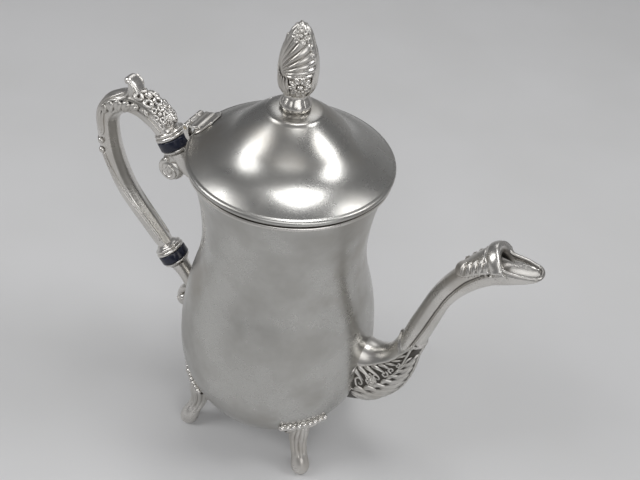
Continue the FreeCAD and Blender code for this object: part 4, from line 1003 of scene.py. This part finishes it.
front_edge, back_edge = (line_through(edge, SCROLL_STEPS) for edge in (SCROLL_FRONT, SCROLL_BACK))
handle_skins.append(hook(front_edge, back_edge, SCROLL_HALF))
rim_width = spline(np.linspace(0, 1, 4), [4.6, 4.2, 3.9, 2.9], np.linspace(0, 1, SCROLL_STEPS))
for side in SIDES:
    rim = np.stack([back_edge[:, 0] + 0.4, side * (rim_width - 0.35), back_edge[:, 1] + 0.1], 1)
    handle_skins.append(strand(rim[6:96], np.linspace(0.6, 0.85, 90)))
    vein = plane_line(SCROLL_VEIN, 60, 3.95 * side)
    handle_skins.append(strand(vein, np.linspace(0.5, 0.75, 60), steps=10))
cast("scroll_handle", handle_skins, "pot", ornate, ["handle"])

# %% [markdown]
# ## Insulators and sockets
# Two dark rings keep the heat of the coffee from the handle. They are turned with a small round on each
# edge, so a thin highlight shows where they meet the silver. The sockets that hold them are castings: a
# ring, a short arm into the wall, and a scroll below. A cylinder with a bevel modifier would look like a
# heat ring too, but a turned profile holds the round in the mesh itself.

# %% Insulating rings
RING_HALF = 2.55
upper_ring, lower_ring = np.array([-62.6, 0, 164.2]), lower_end + RING_HALF * way_of(HANDLE_FOOT)
corner = np.linspace(0, np.pi / 2, 6)
ring = np.concatenate([
    [(0, -2.5), (7.2, -2.5)],
    oval(7.4, -1.9, 0.6, 0.6, corner - np.pi / 2),
    oval(7.4, 1.9, 0.6, 0.6, corner),
    [(7.2, 2.5), (0, 2.5)],
])
for name, centre, heading in (("upper", upper_ring, HANDLE_LEAN), ("lower", lower_ring, HANDLE_FOOT)):
    cast(f"{name}_heat_ring", [lathe(ring, 72, centre, heading)], "pot", insulator, [f"{name}_insulator"])


# %% Socket forms
def button(centre, radius, half):
    """A scroll's body, a cushion across the middle plane: a power of cosine out and of sine across."""
    angle, turn = half_round(21), around(48)
    out = radius * np.abs(np.cos(angle)) ** 0.55
    wide = half * np.sign(np.sin(angle)) * np.abs(np.sin(angle)) ** 0.8
    x, z = out[:, None] * np.cos(turn), out[:, None] * np.sin(turn)
    return skin(np.asarray(centre) + np.stack([x, wide[:, None] + 0 * x, z], -1), wrap_v=True, relief=0.95)


def curl(centre, radius, half, side, start, turns, thick):
    """A spiral thread on a scroll's side: the radius falls evenly while the angle goes round."""
    share = np.linspace(0, 1, 60)
    angle = deg(start) + TURN * turns * share
    out = radius * (0.93 - 0.7 * share)
    height = half * (1 - (out / radius) ** 1.8 * 0.42)
    line = np.asarray(centre) + np.stack([out * np.cos(angle), side * height, out * np.sin(angle)], 1)
    return strand(line, thick * (1 - 0.35 * share), steps=10)


def rooted(path, widths, marks):
    """A round arm along a path whose far end is kept in the metal of the wall."""
    s, q = np.linspace(0, path[-1, 0], 60)[:, None], around(40)[None]
    centre, normal = along(path, s[:, 0])
    radius = spline(marks, widths, s) / 2
    around_it = np.cos(q)[..., None] * normal[:, None] + np.sin(q)[..., None] * ACROSS
    arm = stay_outside(centre[:, None] + radius[..., None] * around_it, IN_WALL)
    first, last = arm[[0, -1]].mean(1)
    return tube(arm, 0.85, [first, stay_outside(last, IN_WALL)])


collar = np.concatenate([
    [(0, 0.05), (6.6, 0.05)],
    oval(6.75, 0.8, 0.75, 0.75, half_round(9)),
    [(6.1, 1.9), (5.6, 3.0), (0, 3.0)],
])
print("socket forms are ready, collar radius", collar[:, 0].max(), "mm")

# %% Upper socket
cup_start = upper_ring - RING_HALF * way_of(HANDLE_LEAN)
upper_line = walk(cup_start[[0, 2]], HANDLE_LEAN - 180, [(9,), (10, 0), (6,)])
arm_length = upper_line[-1, 0]
volute, VOLUTE_RADIUS, VOLUTE_HALF = cup_start + [-2.1, 0, -13.7], 6.3, 4.6
neck = plane_line([(-58.8, 157.5), (-62.5, 154.5), (-67.2, 151.5)], 24)
socket_skins = [
    lathe(collar, 64, cup_start, HANDLE_LEAN - 180, 0.95),
    rooted(upper_line, [12, 9.4, 8.8, 8.8, 11], [0, 6, 9, arm_length - 6, arm_length]),
    button(volute, VOLUTE_RADIUS, VOLUTE_HALF),
    strand(neck, np.linspace(4.6, 2.6, 24), flat=1.05, steps=20, relief=0.8),
]
for side in SIDES:
    socket_skins.append(curl(volute, VOLUTE_RADIUS, VOLUTE_HALF, side, 100, 1.15, 1.5))
    socket_skins.append(bead(volute + [0.6, side * 4.5, 1.2], 2.0, (0.8, 0.6, 1.5)))
cast("upper_scroll_socket", socket_skins, "pot", ornate, ["upper_handle_socket"])

# %% Lower socket
stub_start = lower_ring + RING_HALF * way_of(HANDLE_FOOT)
tail, TAIL_RADIUS, TAIL_HALF = np.array([-59.3, 0, 57.0]), 3.8, 3.5
strap = plane_line([(-50.5, 70), (-56.5, 67.5), (-61.2, 62.5), (-62.6, 57.0)], 40)
socket_skins = [
    lathe(collar, 64, stub_start, HANDLE_FOOT, 0.95),
    rooted(walk(stub_start[[0, 2]], HANDLE_FOOT, [(26,)]), [11.6, 9.4, 9.2, 12], [0, 6, 14, 26]),
    button(tail, TAIL_RADIUS, TAIL_HALF),
    strand(stay_outside(strap, 0.3), np.linspace(3.0, 1.5, 40), flat=1.5, steps=16, relief=0.8),
]
socket_skins += [curl(tail, TAIL_RADIUS, TAIL_HALF, side, 170, 1.0, 0.7) for side in SIDES]
cast("lower_scroll_socket", socket_skins, "pot", ornate, ["lower_handle_socket"])

# %% [markdown]
# ## The feet
# Four cast feet hold the pot above the table. Each is a fluted leg on a smooth toe, and spreads into an
# apron on the wall with a row of beads along its edge and a flower where it meets the leg. One foot is
# drawn towards the spout and turned about the axis to each of the four places. Sculpting would give each
# foot its own faults, and a formula keeps all four alike.

# %% Wall under the feet
APRON_RISE = 1.5


def wall_surface(z, turn):
    """Point and outward direction on the vessel's outside at a height and an angle."""
    z, turn = np.broadcast_arrays(np.asarray(z, float), np.asarray(turn, float))
    radius = wall_radius(z)
    lean = (wall_radius(z + 0.05) - wall_radius(z - 0.05)) / 0.1
    outward = unit(np.stack([np.cos(turn), np.sin(turn), -lean], -1))
    return np.stack([radius * np.cos(turn), radius * np.sin(turn), z], -1), outward


def apron_surface(z, turn):
    """The vessel's wall raised by the apron's metal."""
    point, outward = wall_surface(z, turn)
    return point + APRON_RISE * outward, outward


print("apron:", APRON_RISE, "mm of metal on the wall")

# %% Leg and apron
LEG_LINE = [(51.4, 0.0), (50.9, 2.5), (49.8, 5.6), (47.7, 10.0), (45.6, 14.2), (44.2, 18.6), (43.8, 23),
            (44.3, 29), (45.6, 36)]
LEG_AT = [0, 0.05, 0.13, 0.22, 0.34, 0.46, 0.62, 0.8, 1]
LEG_RADIUS = [3.3, 4.6, 5.1, 4.75, 4.05, 4.0, 4.6, 4.7, 3.0]
APRON_AT, APRON_HALF = [20.5, 24, 28, 33, 37, 39.4, 41], [3.6, 4.4, 5.9, 8.6, 11.6, 12.9, 12.7]
APRON_LOW, APRON_HIGH = APRON_AT[0], APRON_AT[-1]


def leg():
    """The fluted leg: the radius along its line plus ten flutes round it, which fade in above the toe."""
    line, share, angle = plane_line(LEG_LINE, 110), np.linspace(0, 1, 110), around(80)
    first = np.cross(unit(np.gradient(line, axis=0)), ACROSS)
    flute = 1.3 * (np.abs(np.cos(5 * angle)) ** 0.7 - 0.5)[None] * step(share, 0.26, 0.42)[:, None]
    reach = (spline(LEG_AT, LEG_RADIUS, share)[:, None] + flute)[..., None]
    outward = np.cos(angle)[:, None] * first[:, None] + np.sin(angle)[:, None] * ACROSS
    rings = line[:, None] + reach * outward
    rings[..., 2] = np.maximum(rings[..., 2], 0.0)
    rings = stay_outside(rings, IN_WALL)
    toe, root = rings[[0, -1]].mean(1)
    ends = [toe * [1, 1, 0], stay_outside(root, IN_WALL)]
    return tube(rings, np.clip(0.85 + 0.9 * flute, 0.2, 1), ends)


def apron():
    """The spread of metal on the wall: a flat dome with a fan of soft ridges."""
    rise, across = np.linspace(APRON_LOW, APRON_HIGH, 36)[:, None], np.linspace(-1, 1, 61)[None]
    base, outward = wall_surface(rise, across * np.interp(rise, APRON_AT, APRON_HALF) / wall_radius(rise))
    border = np.sqrt(np.clip((APRON_HIGH - rise) / 1.2, 0, 1))
    border = border * np.sqrt(np.clip((rise - APRON_LOW) / 2, 0, 1))
    dome = np.sqrt(np.maximum(1 - across ** 8, 0)) * border
    fan = 0.4 * np.cos(TURN * across * 3.5) * step(rise, 27, 33) * (1 - np.abs(across) ** 6)
    top = base + outward * ((APRON_RISE + fan) * dome)[..., None]
    return pillow(top, base - outward * 0.5, np.clip(0.7 + 0.2 * dome + 0.9 * fan, 0.5, 1), 0.6)


foot_skins = [leg(), apron()]
print("leg:", len(foot_skins[0][0]), "points, apron:", len(foot_skins[1][0]), "points")

# %% Feet
APRON_LEAVES = (  # (height, angle) from root to tip, then width and height of the leaf
    ([(34.5, 0.07), (36.2, 0.13), (36.9, 0.19)], 3.0, 1.4),
    ([(31.5, 0.04), (31.8, 0.1), (33.6, 0.14)], 2.8, 1.2),
    ([(33.0, 0.01), (30.2, 0.03), (26.5, 0.045)], 2.6, 1.6),
)
BEAD_SPREAD, BEAD_WALL, FOOT_PITCH, ROOTING = 12.2, 49.5, 48.0, 1.9
FOOT_TURNS = {"rear_right": 45, "rear_left": 135, "front_left": 225, "front_right": 315}
foot_skins.append(vine(apron_surface, [(39.0, -0.25), (39.2, 0.0), (39.0, 0.25)], 1.0, 60))
for number, place in enumerate(np.linspace(-1, 1, 9)):
    spot, outward = wall_surface(39.9 + 0.3 * abs(place), place * BEAD_SPREAD / BEAD_WALL)
    size = 1.95 + 0.25 * np.cos(2.2 * number) - 0.25 * abs(place)
    foot_skins.append(bead(spot + outward * 1.1, size, (1, 1, 0.9)))
foot_skins += flower(apron_surface, FOOT_PITCH, (34.8, 0.0), 4.2, 1.4, 5, 0.3, 0.5, ROOTING)
for side in SIDES:
    for places, wide, height in APRON_LEAVES:
        line = np.multiply(places, (1, side))
        foot_skins.append(leaf(apron_surface, FOOT_PITCH * side, line, wide, height, 3, ROOTING))
for place, turn in FOOT_TURNS.items():
    spun = np.array(Matrix.Rotation(deg(turn), 3, "Z"))
    skins = [(points @ spun.T, quads, tone) for points, quads, tone in foot_skins]
    cast(f"{place}_foot", skins, "pot", ornate, [f"foot_{place}"])

# %% [markdown]
# ## The finial
# The knob is a bud on a lobed foot. Long leaves sweep round it from lower left to upper right, with open
# flowers between them below, above and at the tip. The bud is turned first and then covered, as a
# modeller covers a core. Petals and leaves laid by height and angle stay easy to move, which a carved
# mesh would not.

# %% Bud
SEAT, BUD_TOP, BUD_TIP, FRONT = 204.85, 38.6, 39.0, deg(-57)
BUD_AT = [0, 1.2, 4, 6.2, 7.6, 9.5, 13, 18, 22, 27, 32, 36, BUD_TOP]
BUD_RADIUS = [6.5, 7.0, 6.4, 5.3, 5.2, 6.3, 7.3, 7.6, 7.3, 6.5, 5.0, 3.4, 1.7]
FACES = (FRONT, FRONT + np.pi)


def bud_surface(height, turn):
    """Point and outward direction on the bud at a height above its seat and an angle."""
    height, turn = np.broadcast_arrays(np.asarray(height, float), np.asarray(turn, float))
    safe = np.clip(height, 0, BUD_TOP)
    places = [np.clip(safe + small, 0, BUD_TOP) for small in (0, 0.1, -0.1)]
    radius, above, below = (spline(BUD_AT, BUD_RADIUS, at) for at in places)
    outward = unit(np.stack([np.cos(turn), np.sin(turn), -(above - below) / 0.2], -1))
    return np.stack([radius * np.cos(turn), radius * np.sin(turn), SEAT + height], -1), outward


def leaf_fan(h, q, turn):
    """Long leaves that spread from one point: ridges by the angle about it, in a zone that fades out."""
    u, v = 7.0 * ((q - turn + deg(83) + np.pi) % TURN - np.pi), h - 16.5
    away, angle = np.hypot(u, v), np.arctan2(v, u)
    inside = (1 - step(angle, deg(104), deg(112))) * step(angle, deg(2), deg(10))
    inside = inside * (1 - step(away, 19, 23))
    ridge = np.sqrt(np.abs(np.cos(np.pi * (angle + 0.018 * (away - 8)) / deg(11.5))))
    return inside * step(u, -6, -3) * step(away, 0.5, 8), ridge


def bud():
    """The turned core with a lobed foot and a fan of leaves on each face."""
    h, q = np.linspace(0, BUD_TOP, 180)[:, None], around(240)[None]
    foot = (1 - step(h, 5.4, 6.6)) * step(h, 0.3, 1.2)
    lobes = foot * 0.4 * (np.abs(np.cos(3.5 * q + 0.2)) ** 0.6 - 0.7)
    lift, tone = lobes, 0.9 * foot + lobes + (1 - foot) * 0.6
    for turn in FACES:
        zone, ridge = leaf_fan(h, q, turn)
        lift, tone = lift + zone * (1.15 * ridge - 0.35), tone + zone * (1.05 * ridge - 0.6)
    point, outward = bud_surface(h, q)
    ends = [(0, 0, SEAT), (0, 0, SEAT + BUD_TIP)]
    return tube(point + outward * lift[..., None], np.clip(tone, 0.1, 1), ends)


bud_skins = [bud()]
print("bud:", len(bud_skins[0][0]), "points on a seat at", SEAT, "mm")

# %% Finial
BUD_LEAVES = (  # lower and upper height, lower and upper angle from the face, width
    (7.0, 17.8, -1.62, -1.72, 1.7), (7.0, 17.6, -1.38, -1.55, 1.7), (7.2, 17.2, -1.14, -1.38, 1.7),
    (7.4, 16.8, -0.9, -1.18, 1.7), (8.2, 17.2, -0.68, -0.98, 1.6), (9.6, 18.2, -0.62, -0.76, 1.4),
    (7.8, 21.5, 0.75, 0.82, 2.3), (8.0, 26.0, 1.03, 1.05, 2.4), (8.2, 34.0, 1.32, 1.28, 2.4),
    (22.0, 36.0, 0.98, 0.7, 2.2),
)
BUD_BERRIES = ((30.2, 0.70, 1.5), (26.8, 0.72, 1.4), (33.2, 0.52, 1.4))  # height, angle from the face, size
for turn in FACES:
    for low, high, start, end, wide in BUD_LEAVES:
        middle = (0.5 * low + 0.5 * high, turn + 0.3 * start + 0.7 * end)
        line = [(low, turn + start), middle, (high, turn + end)]
        bud_skins.append(leaf(bud_surface, 7.0, line, wide, 1.3, blunt=0.6))
    bud_skins += flower(bud_surface, 7.2, (14.2, turn), 4.9, 1.9, 10, 0.2, 0.5)
    for height, lag, size in BUD_BERRIES:
        bud_skins.append(cup(bud_surface, 6.0, (height, turn + lag), (size, size), 1.6, hollow=0.2))
for turn in (-68, 112):
    bud_skins += flower(bud_surface, 3.6, (35.0, deg(turn)), 3.6, 1.3, 7, 0.1, 0.6)
point, outward = bud_surface(np.linspace(28, 33.8, 20), np.full(20, deg(-155)))
tip_leaf = point + outward * np.linspace(-0.6, 0.9, 20)[:, None]
bud_skins.append(strand(tip_leaf, np.linspace(1.5, 0.5, 20), steps=10))
bud_skins.append(bead((0, 0, SEAT + 38.0), 1.4))
cast("bud_finial", bud_skins, "lid", ornate, ["finial"])

# %% [markdown]
# ## The hinge
# The lid turns on a pin through three knuckles. The outer two stand on a bracket that is soldered to the
# neck, and the middle one belongs to a shield-shaped leaf on the lid, with raised lines along its edges.
# Plain boxes would hold as well, but outlines with drawn-in edges catch a thin line of light as cast
# metal does.

# %% Hinge bracket
HINGE = np.array([-51.5, 0, 179.8])
PLATE_OFF = 5.2


def slab(corners, count, half, edge):
    """A closed outline carried across the middle plane, its edges drawn in towards the outline's middle."""
    outline = line_through(corners + corners[:1], count)[:-1]
    middle = outline.mean(0)
    away = outline - middle
    length = np.maximum(np.linalg.norm(away, axis=1, keepdims=True), edge * 1.5)
    rows = []
    for y, inset in ((half, edge), (half - 0.3 * edge, 0.3 * edge), (half - edge, 0)):
        rows.append(np.insert(middle + away * (1 - inset / length), 1, y, axis=1))
    rows = np.stack([row * [1, -1, 1] for row in rows] + rows[::-1])
    return tube(rows, 0.85, [(middle[0], y, middle[1]) for y in (-half, half)])


def knuckle(start, end):
    """A short barrel along the hinge line with a small round at each end."""
    turn = around(40)
    y = np.array([start, start, start + 0.15, start + 0.4, end - 0.4, end - 0.15, end, end])[:, None]
    out = np.array([0.97, 1.4, 1.7, 1.8, 1.8, 1.7, 1.4, 0.97])[:, None]
    wall = np.stack([out * np.cos(turn), y + 0 * turn, out * np.sin(turn)], -1)
    return skin(HINGE + wall, True, True, 0.9)


plate = [(-53.0, 179.2), (-53.1, 177.0), (-52.2, 174.4), (-50.4, 172.6), (-48.6, 172.8), (-49.2, 174.8),
         (-50.2, 177.2), (-50.4, 179.2)]
web = [(-51.8, 174.2), (-50.6, 172.0), (-47.6, 169.0), (-42.8, 164.6), (-42.8, 167.0), (-45.8, 171.0),
       (-49.2, 173.8)]
points, quads, tone = slab(plate, 60, 1.6, 0.4)
bracket_skins = [(points + [0, side * PLATE_OFF, 0], quads, tone) for side in SIDES]
bracket_skins += [slab(web, 50, 6.4, 0.4), knuckle(-7.5, -3.2), knuckle(3.2, 7.5)]
cast("hinge_strut", bracket_skins, "pot", ornate, ["hinge_bracket"])

# %% Hinge leaf on the lid
SHIELD_AT, SHIELD_HALF = [-46.6, -45.2, -43.9, -42.0, -40.4, -39.2], [7.3, 9.6, 10.9, 10.2, 7.4, 4.4]
SHIELD_BACK, SHIELD_TIP, SHIELD_ROUND = SHIELD_AT[0], SHIELD_AT[-1], 0.6


def lid_surface(x, y):
    """Point and outward direction on the lid above a place in plan."""
    x, y = np.broadcast_arrays(np.asarray(x, float), np.asarray(y, float))
    radius = np.hypot(x, y)
    height, outer, inner = (np.interp(radius + d, bell[:, 0], bell[:, 1]) for d in (0, 0.2, -0.2))
    lean = (outer - inner) / 0.4
    outward = unit(np.stack([-lean * x / radius, -lean * y / radius, np.ones_like(x)], -1))
    return np.stack([x, y, height], -1), outward


def shield():
    """The leaf on the lid: a thin dome in plan with two raised lines along each edge."""
    down, across = np.linspace(SHIELD_BACK, SHIELD_TIP, 22)[:, None], np.linspace(-1, 1, 41)[None]
    base, outward = lid_surface(down, across * np.interp(down, SHIELD_AT, SHIELD_HALF))
    room = (down - SHIELD_BACK + 0.1, SHIELD_TIP + 0.1 - down)
    rise, fall = (np.sqrt(np.clip(distance / SHIELD_ROUND, 0, 1)) for distance in room)
    dome = np.sqrt(np.maximum(1 - across ** 10, 0)) * rise * fall
    lines = 0.45 * bump_at(np.abs(across), 0.86, 0.07) + 0.35 * bump_at(np.abs(across), 0.55, 0.06)
    top = base + outward * (0.75 * dome + lines * dome)[..., None]
    return pillow(top, base - outward * 0.4, np.clip(0.6 * dome + lines, 0.1, 1))


arm = [(-51.0, 181.4), (-48.4, 181.6), (-45.4, 181.9), (-44.2, 181.4), (-45.2, 180.4), (-48.4, 180.3),
       (-50.6, 179.4), (-51.8, 180.2)]
step_plate = [(-49.35, 180.5), (-49.35, 181.5), (-47.4, 182.0), (-44.8, 182.5), (-43.6, 182.0),
              (-45.2, 181.0), (-47.4, 180.7)]
shield_skins = [shield(), knuckle(-3.0, 3.0), slab(arm, 50, 3.0, 0.3), slab(step_plate, 40, 7.3, 0.3)]
cast("hinge_shield", shield_skins, "lid", ornate, ["hinge_leaf"])

# %% [markdown]
# ## Table, light and camera
# A pale floor and soft lamps show the silver as it is. Metal only looks like metal when it has something
# to mirror, so six large lamps stand round and above the pot, with plain darker room between them. The
# camera stands where the photographer stood: above the spout's side of the pot, looking down at its lid.
# A picture of a room could light the pot too, but lamps are plain to read and to move.

# %% Table
stage, tree, shader, place = new_finish("pale_table", 0.0)
shader.inputs["Roughness"].default_value = 0.6
shade = blend(tree, clouds(tree, place, 6.0, 3.0, (0.3, 0.7)), (0.62, 0.62, 0.62, 1), (0.65, 0.65, 0.655, 1))
feed(tree, shader.inputs["Base Color"], shade)
TABLE_HALF, TABLE_FRONT, TABLE_BACK, TABLE_BEND, WALL_TOP = 2.4, -1.6, 1.2, 0.5, 2.4
sweep = oval(TABLE_BACK, TABLE_BEND, TABLE_BEND, TABLE_BEND, np.linspace(-np.pi / 2, 0, 13))
back = np.concatenate([[(TABLE_FRONT, 0.0)], sweep, [(TABLE_BACK + TABLE_BEND, WALL_TOP)]])
points, quads, _ = skin(np.stack([np.insert(back, 0, x, axis=1) for x in (-TABLE_HALF, TABLE_HALF)], 1))
mesh = bpy.data.meshes.new("table")
mesh.from_pydata(points, [], quads[:, ::-1].tolist())
mesh.shade_smooth()
table = bpy.data.objects.new("table", mesh)
bpy.context.scene.collection.objects.link(table)
mesh.materials.append(stage)
print("table:", len(mesh.polygons), "faces")

# %% Lamps
LAMPS = (  # name, place, height looked at, width and length, power
    ("left_lamp", (-0.9, -0.5, 0.9), 0.1, (0.5, 0.8), 5.2),
    ("right_lamp", (0.9, 0.3, 1.0), 0.1, (0.4, 0.7), 4.2),
    ("top_lamp", (0.05, 0.15, 1.35), 0.1, (0.4, 0.4), 3.4),
    ("front_lamp", (0.38, -1.0, 0.95), 0.1, (0.9, 0.8), 3.4),
    ("back_lamp", (-0.42, 1.14, 1.3), 0.2, (0.9, 0.7), 2.2),
    ("side_lamp", (1.0, -0.75, 0.55), 0.1, (0.7, 0.6), 2.4),
)
for name, place, height, size, power in LAMPS:
    light = bpy.data.lights.new(name, "AREA")
    light.shape, light.size, light.size_y, light.energy = "RECTANGLE", size[0], size[1], power
    holder = bpy.data.objects.new(name, light)
    bpy.context.scene.collection.objects.link(holder)
    facing = Vector((0, 0, height)) - Vector(place)
    holder.matrix_world = Matrix.Translation(place) @ facing.to_track_quat("-Z", "Y").to_matrix().to_4x4()
world = bpy.data.worlds.new("studio")
bpy.context.scene.world = world
world.use_nodes = True
world.node_tree.nodes["Background"].inputs["Color"].default_value = (0.42, 0.42, 0.43, 1)
world.node_tree.nodes["Background"].inputs["Strength"].default_value = 0.42
print("light: a dim world and", len(LAMPS), "lamps")

# %% Camera
EYE = np.array([116.0 + AXIS_X, -266.0, 384.0]) / 1000  # metres
RIGHT, UP, BACK = (0.9052, 0.4155, 0.0898), (-0.337, 0.5727, 0.7473), (0.2591, -0.7067, 0.6584)
SENSOR, FOCUS_PIXELS, PICTURE_PIXELS = 36.0, 778.92, 640
camera_data = bpy.data.cameras.new("camera")
camera_data.sensor_width, camera_data.lens = SENSOR, FOCUS_PIXELS * SENSOR / PICTURE_PIXELS
camera = bpy.data.objects.new("camera", camera_data)
bpy.context.scene.collection.objects.link(camera)
left, _, right = np.linalg.svd(np.stack([RIGHT, UP, BACK], 1))
standing = np.eye(4)
standing[:3, :3], standing[:3, 3] = left @ right, EYE
camera.matrix_world = Matrix(standing.tolist())
bpy.context.scene.camera = camera
bpy.context.scene.view_settings.view_transform = "Standard"
print("camera:", round(camera_data.lens, 2), "mm lens")
